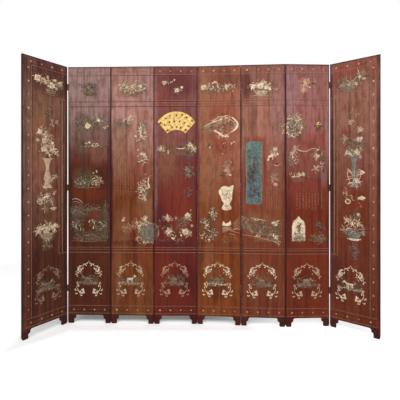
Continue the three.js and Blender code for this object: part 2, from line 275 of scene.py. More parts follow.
def leafLacquer(number, edgeOnly=False):
    finish = leafFinish[number]
    material, tree, shader = newMaterial("lacquer_leaf_%d%s" % (number, "_edge" if edgeOnly else ""))
    place = leafPlaces[number]
    heading = math.atan2(place.col[0].y, place.col[0].x)
    start = put(tree, "TexCoord").outputs["Object"]
    where = put(
        tree, "Mapping",
        {"Vector": start, "Location": place.translation, "Rotation": (0, 0, heading)}, vector_type="TEXTURE",
    ).outputs[0]
    own = put(tree, "Mapping", {"Vector": where, "Location": (number * 1.37, 0, number * 5.1)}).outputs[0]
    parts = put(tree, "SeparateXYZ", {0: where})
    along, through, up = parts.outputs[0], parts.outputs[1], parts.outputs[2]

    plank = window(tree, grain(tree, own, (1 / lacquer["plankWidth"], 4, 0.22), 2.0, 0.5), 0.36, 0.64)
    blotch = grain(tree, own, (4.2, 4.2, 2.2), 5.0, 0.62)
    mottle = grain(tree, own, (24, 24, 9), 4.0, 0.6, (0, 0, 3))
    streak = grain(tree, own, (1 / lacquer["streakWidth"], 40, 2.2), 5.0, 0.66)
    fine = grain(tree, own, (1 / lacquer["grainWidth"], 300, 9.0), 3.0, 0.6)

    colour = mixed(tree, sums(tree, "MULTIPLY", plank, 0.6), finish["deep"], finish["warm"])
    colour = tinted(tree, colour, finish["warm"], blotch, 0.38, 0.68, 0.6)
    # painted reflection: the lacquer turns, in patches, towards a pale sheen tint further up the leaf
    start, full, most = finish["paintedSheen"]
    rise = window(tree, up, start, full, 0.0, most)
    patchy = sums(tree, "ADD", sums(tree, "MULTIPLY", blotch, 0.7), sums(tree, "MULTIPLY", streak, 0.6))
    paintedSheen = sums(tree, "MULTIPLY", rise, sums(tree, "ADD", patchy, 0.35), clamp=True)
    colour = mixed(tree, paintedSheen, colour, finish["sheenTint"])
    cloudy = sums(tree, "SUBTRACT", sums(tree, "MULTIPLY", blotch, 1.5), 0.75)
    for stain in finish["washes"]:
        colour = wash(tree, where, cloudy, colour, *stain)

    bands = grain(tree, own, (26, 20, 0.8), 3.0, 0.55, (9, 0, 4))
    colour = tinted(tree, colour, finish["warm"], bands, 0.55, 0.70, 0.55)
    colour = tinted(tree, colour, lacquer["edge"], bands, 0.46, 0.32, 0.42)
    colour = tinted(tree, colour, finish["deep"], mottle, 0.56, 0.36, 0.42)
    # pale is the plank tone low on a leaf and the painted reflection tint higher up, so the pale streaks,
    # glints and flecks below are partly painted highlight
    pale = mixed(tree, rise, finish["warm"], finish["sheenTint"])
    colour = tinted(tree, colour, pale, sums(tree, "MULTIPLY", mottle, streak), 0.25, 0.40, 0.45)
    colour = tinted(tree, colour, lacquer["crack"], streak, 0.46, 0.28, 0.55)
    colour = tinted(tree, colour, pale, grain(tree, own, (95, 60, 3.2), 4.0, 0.7, (5, 0, 2)), 0.56, 0.74,
                    0.42)
    colour = tinted(tree, colour, lacquer["crack"], fine, 0.50, 0.34, 0.30)

    spread = put(tree, "Mapping", {"Vector": own, "Scale": (1.0, 1.0, 0.55)}).outputs[0]
    wobble = put(tree, "TexNoise", {"Vector": spread, "Scale": 60.0, "Detail": 2.0}).outputs[1]
    bent = put(tree, "Mix", {0: 0.012, 4: spread, 5: wobble}, data_type="VECTOR").outputs[1]
    cells = put(tree, "TexVoronoi", {"Vector": bent, "Scale": lacquer["coatCrackle"]},
                feature="DISTANCE_TO_EDGE")
    crackle = window(tree, cells.outputs["Distance"], 0.0, 0.035, 1.0, 0.0)
    crackle = sums(tree, "MULTIPLY", crackle, window(tree, blotch, 0.42, 0.62))
    colour = mixed(tree, sums(tree, "MULTIPLY", crackle, 0.4), colour, lacquer["crack"])
    # pale flecks, partly painted highlight up the leaf
    flecks = grain(tree, own, (260, 260, 120), 2.0, 0.7, (3, 1, 7))
    colour = tinted(tree, colour, pale, flecks, 0.68, 0.75, 0.55)

    # painted shade: the lacquer darkens within edgeShade of each side edge, where the leaves meet at the
    # folds
    width, depth = leafWidth * mm, leafDepth * mm
    fromSide = sums(tree, "MINIMUM", along, sums(tree, "SUBTRACT", width, along))
    ragged = sums(tree, "ADD", fromSide, window(tree, streak, 0.3, 0.7, -0.003, 0.003))
    side = window(tree, ragged, 0.001, lacquer["edgeShade"], 0.85, 0.0)
    # the top 16 mm of a leaf darken to the edge tone
    top = window(tree, up, leafHeight * mm - 0.016, leafHeight * mm - 0.001, 0.0, 0.95)
    colour = mixed(tree, sums(tree, "MAXIMUM", side, top), colour, lacquer["edge"])
    # painted shade: the feet darken below footShade
    wavy = sums(tree, "ADD", up, window(tree, blotch, 0.3, 0.7, -0.008, 0.008))
    feet = window(tree, wavy, lacquer["footShade"], lacquer["footShade"] - 0.025, 0.0, 0.8)
    colour = mixed(tree, feet, colour, lacquer["foot"])
    behind = window(tree, through, 0.0012, 0.0024)
    aged = mixed(tree, window(tree, mottle, 0.5, 0.7, 0.0, 0.6), lacquer["blackBack"], finish["deep"])
    colour = mixed(tree, behind, colour, aged)
    if edgeOnly:
        colour = mixed(tree, window(tree, mottle, 0.3, 0.6, 0.35, 0.1), colour, lacquer["edge"])

    rough = window(tree, streak, 0.3, 0.7, 0.38, 0.56)
    height = sums(tree, "SUBTRACT", sums(tree, "MULTIPLY", fine, 0.5), crackle)
    bump = bumped(tree, height, lacquer["bump"], 0.0006)
    joined(tree, shader, Base_Color=colour, Roughness=rough, Normal=bump)
    shader.inputs["Specular IOR Level"].default_value = lacquer["specular"]
    return material


def finishWith(node, material):
    node.data.materials.clear()
    node.data.materials.append(material)


for number in leafPlaces:
    skin = leafLacquer(number)
    for part in ("board", "foot_rail"):
        finishWith(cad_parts["leaf_%d_%s" % (number, part)], skin)
    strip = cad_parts.get("leaf_%d_edge_strip" % number)
    if strip:
        finishWith(strip, leafLacquer(number, edgeOnly=True))
print("leaves lacquered")


iron = {"dark": paint(38, 30, 30), "rust": paint(84, 50, 38), "worn": paint(96, 88, 84), "metal": 0.55}


def hingeIron():
    material, tree, shader = newMaterial("hinge_iron")
    where = put(tree, "TexCoord").outputs["Object"]
    scale = grain(tree, where, (260, 260, 260), 5.0, 0.65)
    rust = window(tree, grain(tree, where, (70, 70, 70), 4.0, 0.6, (2, 0, 1)), 0.52, 0.66, 0.0, 0.8)
    rubbed = window(tree, put(tree, "NewGeometry").outputs["Pointiness"], 0.51, 0.58, 0.0, 0.6)
    colour = mixed(tree, rust, iron["dark"], iron["rust"])
    colour = mixed(tree, sums(tree, "MULTIPLY", scale, 0.35), colour, iron["dark"])
    colour = mixed(tree, rubbed, colour, iron["worn"])
    rough = window(tree, scale, 0.3, 0.7, 0.42, 0.72)
    bump = bumped(tree, scale, 0.5, 0.0004)
    joined(tree, shader, Base_Color=colour, Roughness=rough, Normal=bump)
    shader.inputs["Metallic"].default_value = iron["metal"]
    return material


ironFinish = hingeIron()
for name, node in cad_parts.items():
    if "_hinge_" in name:
        finishWith(node, ironFinish)


# screws in the hinge plates, and felt along the edges that meet
fold = {
    # millimetres
    "felt": 1.1, "feltDeep": (2.4, 6.0), "feltRound": 0.35, "feltEnds": (112, 22), "hingeHalf": 38,
    "screwRadius": 3.0, "screwRise": 0.3, "screwSunk": 0.3, "slotHalf": 0.45, "screwSpread": 19,
    "screwDeep": 10,
    "feltTone": paint(22, 12, 14), "feltFluff": paint(52, 34, 36), "feltRough": 0.95,
}
hingeHeights = sorted(
    sum(end.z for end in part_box("fold_1_%s_hinge_pintle" % place)) / 2 / mm
    for place in ("top", "middle", "bottom"))


def feltMaterial():
    material, tree, shader = newMaterial("felt")
    where = put(tree, "TexCoord").outputs["Object"]
    fibres = grain(tree, where, (900, 900, 500), 4.0, 0.7)
    colour = mixed(tree, window(tree, fibres, 0.4, 0.7), fold["feltTone"], fold["feltFluff"])
    bump = bumped(tree, fibres, 0.6, 0.0004)
    joined(tree, shader, Base_Color=colour, Normal=bump)
    shader.inputs["Roughness"].default_value = fold["feltRough"]
    return material


def layPrisms(name, leaf, prisms, finish):  # a prism is its two end outlines, as points u, v, z
    body = bmesh.new()
    for low, high in prisms:
        rings = [[body.verts.new(Vector(point) * mm) for point in outline] for outline in (low, high)]
        body.faces.new(rings[0])
        body.faces.new(rings[1])
        for here in range(len(low)):
            body.faces.new((rings[0][here - 1], rings[0][here], rings[1][here], rings[1][here - 1]))
    bmesh.ops.recalc_face_normals(body, faces=body.faces)
    mesh = bpy.data.meshes.new(name)
    body.to_mesh(mesh)
    body.free()
    mesh.materials.append(finish)
    piece = bpy.data.objects.new(name, mesh)
    piece.matrix_world = leafPlaces[leaf]
    bpy.context.scene.collection.objects.link(piece)
    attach(piece, "leaf_%d" % leaf)


def feltStrip(leaf, side, hingedInFront):
    edge, out = (leafWidth, 1) if side > 0 else (0, -1)
    near, far = fold["feltDeep"]
    if not hingedInFront:
        near, far = leafDepth - far, leafDepth - near
    top, curve = edge + out * fold["felt"], fold["feltRound"]
    section = [(edge - out * 0.3, near), (top - out * curve, near), (top, near + curve), (top, far - curve),
               (top - out * curve, far), (edge - out * 0.3, far)]
    stops = [fold["feltEnds"][0]]
    for height in hingeHeights:
        stops += [height - fold["hingeHalf"], height + fold["hingeHalf"]]
    stops.append(leafHeight - fold["feltEnds"][1])
    prisms = [([(u, v, low) for u, v in section], [(u, v, high) for u, v in section])
              for low, high in zip(stops[::2], stops[1::2])]
    name = "leaf_%d_fold_felt" if side > 0 else "leaf_%d_left_felt"
    layPrisms(name % leaf, leaf, prisms, felt)


def hingeScrews(leaf):
    prisms = []
    for side, number in ((-1, leaf - 1), (1, leaf)):
        if not 0 < number < leafCount:
            continue
        edge = leafWidth if side > 0 else 0
        low, high = edge - side * fold["screwSunk"], edge + side * fold["screwRise"]
        deep = fold["screwDeep"] if number % 2 else leafDepth - fold["screwDeep"]
        for height in hingeHeights:
            for step in (-1, 1):
                middle, turn = height + step * fold["screwSpread"], (number * 37 + step * 23 + height) % 180
                for half in (0, 180):
                    rim = arc(0, 0, fold["screwRadius"], 9, 171, 9)
                    rim = [(v, max(z, fold["slotHalf"])) for v, z in rim]
                    spin = math.radians(turn + half)
                    cos, sin = math.cos(spin), math.sin(spin)
                    rim = [(deep + v * cos - z * sin, middle + v * sin + z * cos) for v, z in rim]
                    prisms.append(([(low, v, z) for v, z in rim], [(high, v, z) for v, z in rim]))
    layPrisms("leaf_%d_hinge_screws" % leaf, leaf, prisms, ironFinish)


pigments = {
    "ivory": paint(240, 218, 186),
    "cream": paint(206, 178, 148),
    "khaki": paint(154, 128, 102),
    "blush": paint(194, 146, 124),
    "coral": paint(168, 70, 58),
    "apricot": paint(204, 136, 98),
    "gold": paint(226, 184, 106),
    "fan": paint(246, 206, 126),
    "fanEdge": paint(224, 176, 96),
    "fanInk": paint(76, 50, 28),
    "olive": paint(100, 86, 66),
    "ochre": paint(170, 126, 82),
    "sage": paint(124, 114, 92),
    "moss": paint(84, 78, 56),
    "slate": paint(122, 108, 96),
    "teal": paint(98, 120, 112),
    "azure": paint(96, 128, 142),
    "marine": paint(76, 104, 100),
    "mulberry": paint(96, 74, 84),
    "thatch": paint(118, 86, 62),
    "pewter": paint(128, 126, 120),
    "sea": paint(126, 146, 138),
    "pine": paint(60, 66, 56),
    "plum": paint(92, 50, 60),
    "umber": paint(70, 42, 34),
    "ink": paint(40, 26, 24),
    "line": paint(152, 112, 88),
    "groove": paint(50, 20, 22),
    "dullLine": paint(118, 74, 58),
}
wear = {
    "chips": 0.864, "stain": 0.84, "ground": paint(112, 62, 44),
    "darker": 0.52, "lighter": 1.22, "specular": 0.12,
}


def pigment(name):
    material, tree, shader = newMaterial("pigment_" + name)
    tone = pigments[name]
    where = put(tree, "TexCoord").outputs["Object"]
    cloud = grain(tree, where, (34, 34, 34), 4.0, 0.6)
    speck = grain(tree, where, (420, 420, 420), 3.0, 0.6)
    brush = grain(tree, where, (260, 90, 90), 3.0, 0.6, (1, 2, 0))
    darker = tuple(channel * wear["darker"] for channel in tone[:3]) + (1,)
    lighter = tuple(min(1.0, channel * wear["lighter"]) for channel in tone[:3]) + (1,)
    colour = mixed(tree, window(tree, cloud, 0.34, 0.68, 0.0, wear["stain"]), tone, darker)
    colour = tinted(tree, colour, lighter, brush, 0.52, 0.72, 0.6)
    chips = window(tree, sums(tree, "ADD", sums(tree, "MULTIPLY", speck, 0.6),
                              sums(tree, "MULTIPLY", cloud, 0.4)),
                   0.56, 0.64, 0.0, wear["chips"])
    colour = mixed(tree, chips, colour, wear["ground"])
    rough = window(tree, cloud, 0.3, 0.7, 0.45, 0.68)
    bump = bumped(tree, speck, 0.4, 0.0005)
    joined(tree, shader, Base_Color=colour, Roughness=rough, Normal=bump)
    shader.inputs["Specular IOR Level"].default_value = wear["specular"]
    return material


pigmentMaterials = {name: pigment(name) for name in pigments}
print(len(pigments), "pigments ground")


# plane shapes, as lists of points (u, z) in millimetres
def circle(u, z, radius, count=12):
    angles = [2 * math.pi * step / count for step in range(count)]
    return [(u + radius * math.cos(a), z + radius * math.sin(a)) for a in angles]


def arc(u, z, radius, start, end, count):
    angles = [math.radians(start + (end - start) * step / (count - 1)) for step in range(count)]
    return [(u + radius * math.cos(a), z + radius * math.sin(a)) for a in angles]


def smooth(points, steps=4, closed=False):  # a curve through the points
    count = len(points)
    if count < 3:
        return list(points)
    found = []
    for index in range(count if closed else count - 1):
        if closed:
            before, here, there, after = (points[(index + k) % count] for k in (-1, 0, 1, 2))
        else:
            before, here = points[max(index - 1, 0)], points[index]
            there, after = points[index + 1], points[min(index + 2, count - 1)]
        for step in range(steps):
            t = step / steps
            found.append(tuple(
                0.5 * (2 * h + (n - b) * t + (2 * b - 5 * h + 4 * n - a) * t * t
                       + (3 * h - b - 3 * n + a) * t ** 3)
                for b, h, n, a in zip(before, here, there, after)))
    if not closed:
        found.append(points[-1])
    return found


def sized(points, wide, high):
    return [(u * wide, z * high) for u, z in points]


def turnedLeft(points):  # the same outline, anticlockwise
    area = sum(a[0] * b[1] - b[0] * a[1] for a, b in zip(points, points[1:] + points[:1]))
    return points if area > 0 else points[::-1]


def inset(points, depth):
    count = len(points)
    spans = [max(p[axis] for p in points) - min(p[axis] for p in points) for axis in (0, 1)]
    depth = min(depth, 0.22 * min(spans))
    moved = []
    for index in range(count):
        before, here, after = points[index - 1], points[index], points[(index + 1) % count]
        first = Vector((here[0] - before[0], here[1] - before[1]))
        second = Vector((after[0] - here[0], after[1] - here[1]))
        if first.length < 1e-6 or second.length < 1e-6:
            moved.append(here)
            continue
        first.normalize()
        second.normalize()
        inward = Vector((-first.y - second.y, first.x + second.x))
        if inward.length < 1e-3:
            moved.append(here)
            continue
        inward.normalize()
        moved.append((here[0] + inward.x * depth, here[1] + inward.y * depth))
    return moved


# an inlay is thin coloured relief laid on one face of a leaf
relief = {  # millimetres and shares; what is as wide as "large" may run off a leaf
    "sunk": 0.5, "shoulder": 0.45, "drawnFor": 2440, "clear": 0.4, "strokeClear": 2.0, "large": 70,
    "taper": 3.5, "sharp": 48,
}


class Inlay:
    def __init__(self, name, leaf, back=False):
        self.name, self.leaf, self.back = name, leaf, back
        self.points, self.faces, self.faceTints, self.tints = [], [], [], []

    def addRing(self, outline, proud):
        first, rise = len(self.points), leafHeight / relief["drawnFor"] * mm
        outline = [(min(max(u, relief["clear"]), leafWidth - relief["clear"]), z) for u, z in outline]
        if self.back:
            self.points += [((leafWidth - u) * mm, (leafDepth + proud) * mm, z * rise) for u, z in outline]
        else:
            self.points += [(u * mm, -proud * mm, z * rise) for u, z in outline]
        return list(range(first, len(self.points)))

    def addFace(self, corners, tint):
        if tint not in self.tints:
            self.tints.append(tint)
        self.faces.append(corners)
        self.faceTints.append(self.tints.index(tint))

    def lay(self):
        mesh = bpy.data.meshes.new(self.name)
        mesh.from_pydata(self.points, [], self.faces)
        for tint in self.tints:
            mesh.materials.append(pigmentMaterials[tint])
        mesh.polygons.foreach_set("material_index", self.faceTints)
        mesh.polygons.foreach_set("use_smooth", [True] * len(self.faces))
        mesh.set_sharp_from_angle(angle=math.radians(relief["sharp"]))
        piece = bpy.data.objects.new(self.name, mesh)
        piece.matrix_world = leafPlaces[self.leaf]
        bpy.context.scene.collection.objects.link(piece)
        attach(piece, "leaf_%d" % self.leaf)


class Pen:  # draws on an inlay from a place of its own, turned, scaled or mirrored
    def __init__(self, inlay, u=0.0, z=0.0, turn=0.0, size=1.0, flip=False, lift=0.0):
        self.inlay, self.lift = inlay, lift
        cos, sin = math.cos(math.radians(turn)) * size, math.sin(math.radians(turn)) * size
        side = -1 if flip else 1
        self.grid = (cos * side, -sin, u, sin * side, cos, z)
        self.size = size

    def at(self, u, z, turn=0.0, size=1.0, flip=False, lift=0.0):
        child = Pen(self.inlay, u, z, turn, size, flip, self.lift + lift)
        a, b, c, d, e, f = self.grid
        g, h, i, j, k, l = child.grid
        child.grid = (a * g + b * j, a * h + b * k, a * i + b * l + c, d * g + e * j, d * h + e * k,
                      d * i + e * l + f)
        child.size = self.size * size
        return child

    def put(self, points):
        a, b, c, d, e, f = self.grid
        return [(a * u + b * z + c, d * u + e * z + f) for u, z in points]

    def cell(self, outline, tint, rise=1.2, swell=0.0, bevel=0.9):
        outline = turnedLeft(self.put(outline))
        across = [u for u, z in outline]
        crossing = min(across) < relief["clear"] or max(across) > leafWidth - relief["clear"]
        if crossing and max(across) - min(across) < relief["large"]:
            return
        top = self.lift + rise
        ink = self.inlay
        inner = inset(outline, bevel)
        low = ink.addRing(outline, -relief["sunk"])
        shoulder = ink.addRing(outline, top * relief["shoulder"] + self.lift * (1 - relief["shoulder"]))
        crown = ink.addRing(inner, top)
        count = len(outline)
        for here in range(count):
            there = (here + 1) % count
            ink.addFace([low[here], low[there], shoulder[there], shoulder[here]], tint)
            ink.addFace([shoulder[here], shoulder[there], crown[there], crown[here]], tint)
        if swell:
            middle = (sum(p[0] for p in inner) / count, sum(p[1] for p in inner) / count)
            peak = ink.addRing([middle], top + swell)[0]
            for here in range(count):
                ink.addFace([crown[here], crown[(here + 1) % count], peak], tint)
        else:
            ink.addFace(crown, tint)
        ink.addFace(low[::-1], tint)

    # ends is the share of its width that a band has where it starts and where it ends, or one share for both
    def band(self, path, width, tint, rise=1.0, ends=0.35):
        startShare, endShare = ends if isinstance(ends, tuple) else (ends, ends)
        path = self.put(path)
        low, high = relief["strokeClear"], leafWidth - relief["strokeClear"]
        if len(path) > 2:
            path = [p for p in path if low < p[0] < high]
        else:
            path = [(min(max(u, low), high), z) for u, z in path]
        path = [p for i, p in enumerate(path) if i == 0 or math.dist(p, path[i - 1]) > 0.05]
        if len(path) < 2:
            return
        ink, last = self.inlay, len(path) - 1
        sections = []
        for index, (u, z) in enumerate(path):
            before, after = path[max(index - 1, 0)], path[min(index + 1, last)]
            step = Vector((after[0] - before[0], after[1] - before[1]))
            if step.length < 1e-6:
                step = Vector((1, 0))
            step.normalize()
            share = index / last
            taper = min(1.0, startShare + (1 - startShare) * share * relief["taper"],
                        endShare + (1 - endShare) * (1 - share) * relief["taper"])
            half = width * self.size * taper / 2
            left = (u - step.y * half, z + step.x * half)
            right = (u + step.y * half, z - step.x * half)
            low, shoulder = -relief["sunk"], self.lift + rise * relief["shoulder"]
            section = ink.addRing([left], low) + ink.addRing([left], shoulder)
            section += ink.addRing([(u, z)], self.lift + rise)
            section += ink.addRing([right], shoulder) + ink.addRing([right], low)
            sections.append(section)
        for first, second in zip(sections, sections[1:]):
            for here in range(5):
                there = (here + 1) % 5
                ink.addFace([first[here], first[there], second[there], second[here]], tint)
        ink.addFace(sections[0][::-1], tint)
        ink.addFace(sections[-1], tint)

    def bead(self, u, z, radius, tint, rise=1.5, count=9):
        self.cell(circle(u, z, radius, count), tint, rise * 0.7, rise * 0.3, radius * 0.35)

    def loop(self, points, width, tint, rise=1.0):  # a closed band
        self.band(points + points[:2], width, tint, rise, 1)

    def curve(self, points, steps, width, tint, rise=1.0, ends=0.35):  # a band along a smooth curve
        self.band(smooth(points, steps), width, tint, rise, ends)

    def raised(self, lift):
        return self.at(0, 0, lift=lift)

    # rows of bands: each point is u, z and how far it moves from row to row
    def waves(self, rows, points, width, tint, rise):
        for row in range(rows):
            path = [(u + row * stepU, z + row * stepZ) for u, z, stepU, stepZ in points]
            self.curve(path, 4, width, tint, rise, 0.2)


inlays = []


def drawn(leaf, name, back=False):
    inlays.append(Inlay("leaf_%d_%s" % (leaf, name), leaf, back))
    return Pen(inlays[-1])


def petal(pen, angle, inner, outer, width, tint, rise=1.3, notch=0.06):
    outer *= 0.68 + 0.42 * abs(math.sin(angle * 3.7 + outer))
    long = outer - inner
    half = [(0.0, 0.10), (0.25, 0.34), (0.62, 0.50), (0.90, 0.36), (1.0, 0.14)]
    right = [(inner + long * along, -width * across) for along, across in half]
    left = [(u, -z) for u, z in reversed(right)]
    tip = [(outer - notch * long, 0)]
    pen.at(0, 0, angle).cell(smooth(right + tip + left, 2, True), tint, rise, 0.35, 1.0)


def flower(pen, radius, tint, heart="gold", petals=5, width=0.8, turn=0.0, rise=1.4):
    for index in range(petals):
        petal(pen, turn + 360 / petals * index, radius * 0.1, radius, radius * width, tint, rise)
    pen.bead(0, 0, radius * 0.2, heart, rise + 0.8)


def peony(pen, radius, tint, inner="cream", heart="coral", turn=10.0):
    for petals, share, colour, lift in ((7, 1.0, tint, 0.0), (6, 0.66, inner, 0.5), (5, 0.38, tint, 1.0)):
        layer = pen.at(0, 0, turn + share * 40, 1.0, False, lift)
        for index in range(petals):
            petal(layer, 360 / petals * index, radius * 0.08, radius * share, radius * share * 0.62, colour,
                  1.2, 0.12)
    pen.raised(1.4).bead(0, 0, radius * 0.12, heart, 1.4)


def daisy(pen, radius, tint, heart="ochre", petals=13):
    for index in range(petals):
        petal(pen, 360 / petals * index, radius * 0.2, radius, radius * 0.3, tint, 1.2, 0.0)
    pen.bead(0, 0, radius * 0.24, heart, 1.8)


def bud(pen, length, angle, tint):
    turned = pen.at(0, 0, angle)
    petal(turned, 0, 0, length, length * 0.62, tint, 1.4, 0.0)
    petal(turned, 26, 0, length * 0.62, length * 0.36, "sage", 1.0, 0.0)
    petal(turned, -26, 0, length * 0.62, length * 0.36, "sage", 1.0, 0.0)


def blade(pen, angle, length, width, tint="sage", vein="pine", bend=0.12):
    turned = pen.at(0, 0, angle)
    curve = [(length * t, length * bend * math.sin(math.pi * t)) for t in (0, 0.25, 0.5, 0.75, 1.0)]
    swell = (0.06, 0.42, 0.5, 0.3, 0.02)
    over = [(u, z + width * w) for (u, z), w in zip(curve, swell)]
    under = [(u, z - width * w) for (u, z), w in zip(curve, swell)]
    turned.cell(smooth(over + under[::-1], 2, True), tint, 0.9, 0.0, 0.6)
    if vein:
        turned.band(curve[:4], max(0.8, width * 0.10), vein, 1.25)


def spray(pen, path, leaves, length, width, tint="sage", stem="umber", stemWidth=2.4, vein="pine"):
    curve = smooth(path, 5)
    pen.band(curve, stemWidth, stem, 1.1, (1.0, 0.3))
    for index in range(leaves):
        spot = int((index + 1) / (leaves + 0.5) * (len(curve) - 1))
        here, there = curve[spot], curve[min(spot + 1, len(curve) - 1)]
        before = curve[max(spot - 1, 0)]
        heading = math.degrees(math.atan2(there[1] - before[1], there[0] - before[0]))
        side = 42 if index % 2 else -42
        blade(pen.at(*here), heading + side, length * (1.1 - 0.3 * index / leaves), width, tint, vein, 0.1)
    return curve


def tuft(pen, blades, height, spread, tint, seed, width):  # grass and orchid leaves
    dice = random.Random(seed)
    for index in range(blades):
        lean = spread * (index / max(blades - 1, 1) - 0.5) * 2
        tall = height * dice.uniform(0.65, 1.0)
        bow = lean * dice.uniform(0.7, 1.1)
        pen.curve([(lean * 0.06, 0), (lean * 0.35, tall * 0.6), (bow, tall), (bow * 1.3, tall * 0.92)], 3,
                 width, tint, 1.0, (0.8, 0.15))


def foliage(pen, count, radius, tints, seed, length, width, flat=0.7):
    dice = random.Random(seed)
    for _ in range(count):
        angle, far = dice.uniform(0, 360), radius * math.sqrt(dice.random())
        u, z = far * math.cos(math.radians(angle)), far * flat * math.sin(math.radians(angle))
        blade(pen.at(u, z), angle + dice.uniform(-40, 40), length * dice.uniform(0.7, 1.2), width,
              dice.choice(tints), None)


wornLeaf = [(0, 0), (0.3, 0.5), (0.7, 0.35), (1, 0), (0.6, -0.4), (0.25, -0.3)]
wornStem = [(0, 0), (0.5, 1), (1, 0.4), (1.3, -1)]


def thicket(pen, spots, tints, seed, crowd=1.0):  # worn leaves, petals and stems thrown over ellipses
    dice = random.Random(seed)
    for u, z, wide, high in spots:
        for _ in range(int(crowd * wide * high / 38)):
            angle, far = dice.uniform(0, 2 * math.pi), math.sqrt(dice.random())
            middle = (u + wide * far * math.cos(angle), z + high * far * math.sin(angle))
            here = pen.at(*middle, dice.uniform(0, 360), lift=dice.uniform(0.0, 1.8))
            tint, long, thick = dice.choice(tints), dice.uniform(8, 25), dice.uniform(4, 9)
            if dice.random() < 0.55:
                here.cell(sized(wornLeaf, long, thick), tint, 0.9, 0.0, 0.5)
            else:
                here.curve(sized(wornStem, long, thick), 2, 2.4, tint, 0.9, 0.3)


def burst(pen, spots, tints, seed, rays):  # strokes thrown out from a point, as spiky petals are
    dice = random.Random(seed)
    for u, z, reach in spots:
        for _ in range(rays):
            angle, bow = dice.uniform(0, 2 * math.pi), dice.uniform(-0.3, 0.3)
            far = reach * dice.uniform(0.55, 1.1)
            path = [(u + far * share * math.cos(angle + bow * share),
                     z + far * share * math.sin(angle + bow * share))
                    for share in (0.12, 0.4, 0.7, 1.0)]
            pen.at(0, 0, lift=dice.uniform(0.0, 1.8)).band(path, dice.uniform(3.5, 6.5), dice.choice(tints),
                    0.9, (0.8, 0.2))


def blossoms(pen, count, radius, size, tints, seed, flat=0.7):
    dice = random.Random(seed)
    for _ in range(count):
        angle, far = dice.uniform(0, 360), radius * math.sqrt(dice.random())
        spot = pen.at(far * math.cos(math.radians(angle)), far * flat * math.sin(math.radians(angle)),
                      lift=0.6)
        flower(spot, size * dice.uniform(0.75, 1.2), dice.choice(tints), "ochre", 5, 0.8, dice.uniform(0, 72))


def twig(pen, path, width, tint, flowers, size, petals, seed, side):
    curve = smooth(path, 5)
    pen.band(curve, width, tint, 1.3, (1.0, 0.2))
    dice = random.Random(seed)
    for index in range(flowers):
        spot = curve[int((0.2 + 0.8 * index / max(flowers - 1, 1)) * (len(curve) - 1))]
        away = dice.choice((-1, 1)) * dice.uniform(0.4, 1.0) * side
        end = (spot[0] + away, spot[1] + dice.uniform(0.2, 0.9) * side)
        pen.curve([spot, ((spot[0] + end[0]) / 2 + away * 0.1, (spot[1] + end[1]) / 2), end], 3, width * 0.4,
                  tint, 1.0)
        flower(pen.at(*end, lift=0.3), size * dice.uniform(0.8, 1.15), petals, "coral", 5, 0.85,
               dice.uniform(0, 72))


def turnedOutline(profile):  # profile: half widths and heights, from the foot up
    right = smooth(profile, 3)
    return right + [(-u, z) for u, z in reversed(right)]


def vessel(pen, profile, tint, trim, bands):
    pen.cell(turnedOutline(profile), tint, 1.5, 0.0, 1.6)
    for height, half, bandWidth in bands:
        pen.raised(1.125).band([(-half, height), (0, height - half * 0.06), (half, height)], bandWidth, trim,
                               0.8, 0.7)


def trumpetVase(pen, tint, trim, height, mouth, belly, foot):
    profile = sized([(1, 0), (0.72, 0.07)], foot, height)
    profile += sized([(0.62, 0.16), (1, 0.32), (0.72, 0.44)], belly, height)
    profile += sized([(0.30, 0.58), (0.34, 0.76), (0.60, 0.92), (1, 1)], mouth, height)
    bands = [(height * 0.10, foot * 0.5, 4), (height * 0.25, belly * 0.82, 3),
             (height * 0.40, belly * 0.8, 3),
             (height * 0.56, mouth * 0.30, 4), (height * 0.70, mouth * 0.28, 3),
             (height * 0.93, mouth * 0.6, 3)]
    vessel(pen, profile, tint, trim, bands)
    for step in range(5):
        pen.raised(1.0).bead((step - 2) * belly * 0.34, height * 0.325, belly * 0.11, trim, 1.2)
    for side in (-1, 1):
        handle = pen.at(side * mouth * 0.32, height * 0.66, flip=side < 0)
        handle.curve([(0, 12), (14, 10), (16, -6), (6, -16), (0, -10)], 3, 3.5, trim, 1.6)


def basketBody(pen, width, height, tint, trim):
    half = width / 2
    profile = sized([(0.55, 0), (0.78, 0.22), (0.98, 0.7), (1, 1)], half, height)
    pen.cell(turnedOutline(profile), tint, 1.3, 0.0, 1.5)
    top = pen.raised(0.9)
    strands = max(4, int(width / 14))
    for index in range(strands):
        share = (index + 0.5) / strands * 2 - 1
        top.band([(share * half * 0.62, height * 0.06), (min(1, share + 0.22) * half * 0.9, height * 0.9)], 2,
                 trim, 0.7)
        top.band([(share * half * 0.62, height * 0.06), (max(-1, share - 0.22) * half * 0.9, height * 0.9)],
                 2, trim, 0.7)
    for level, reach in ((0.04, 0.6), (0.5, 0.9), (0.98, 1.04)):
        top.curve([(-half * reach, height * level), (0, height * level - 3), (half * reach, height * level)],
                  4, 4.5, trim, 1.1, 0.7)


def bowlOfFruit(pen, width, tint, trim, fruits):
    half = width / 2
    spots = [(-0.5, 0.50), (0.0, 0.56), (0.5, 0.50), (-0.25, 0.76), (0.27, 0.78), (0.02, 1.0)]
    for index, (u, z) in enumerate(spots):
        spot = pen.at(u * half, z * half)
        blade(spot, 40 + 50 * index, half * 0.5, half * 0.18, "moss", None)
        spot.cell(circle(0, 0, half * 0.23, 10), fruits[index % len(fruits)], 1.4, 0.9, 1.5)
    pen.raised(0.6).cell(turnedOutline([(half * 0.42, 0), (half * 0.5, 4), (half * 0.86, half * 0.26),
                                        (half, half * 0.58)]), tint, 1.7, 0, 1.6)
    pen.raised(1.8).band([(-half * 0.98, half * 0.56), (0, half * 0.52), (half * 0.98, half * 0.56)], 4, trim,
                         1.0)
    pen.raised(1.8).band([(-half * 0.7, half * 0.24), (0, half * 0.2), (half * 0.7, half * 0.24)], 2.5, trim,
                         0.8)


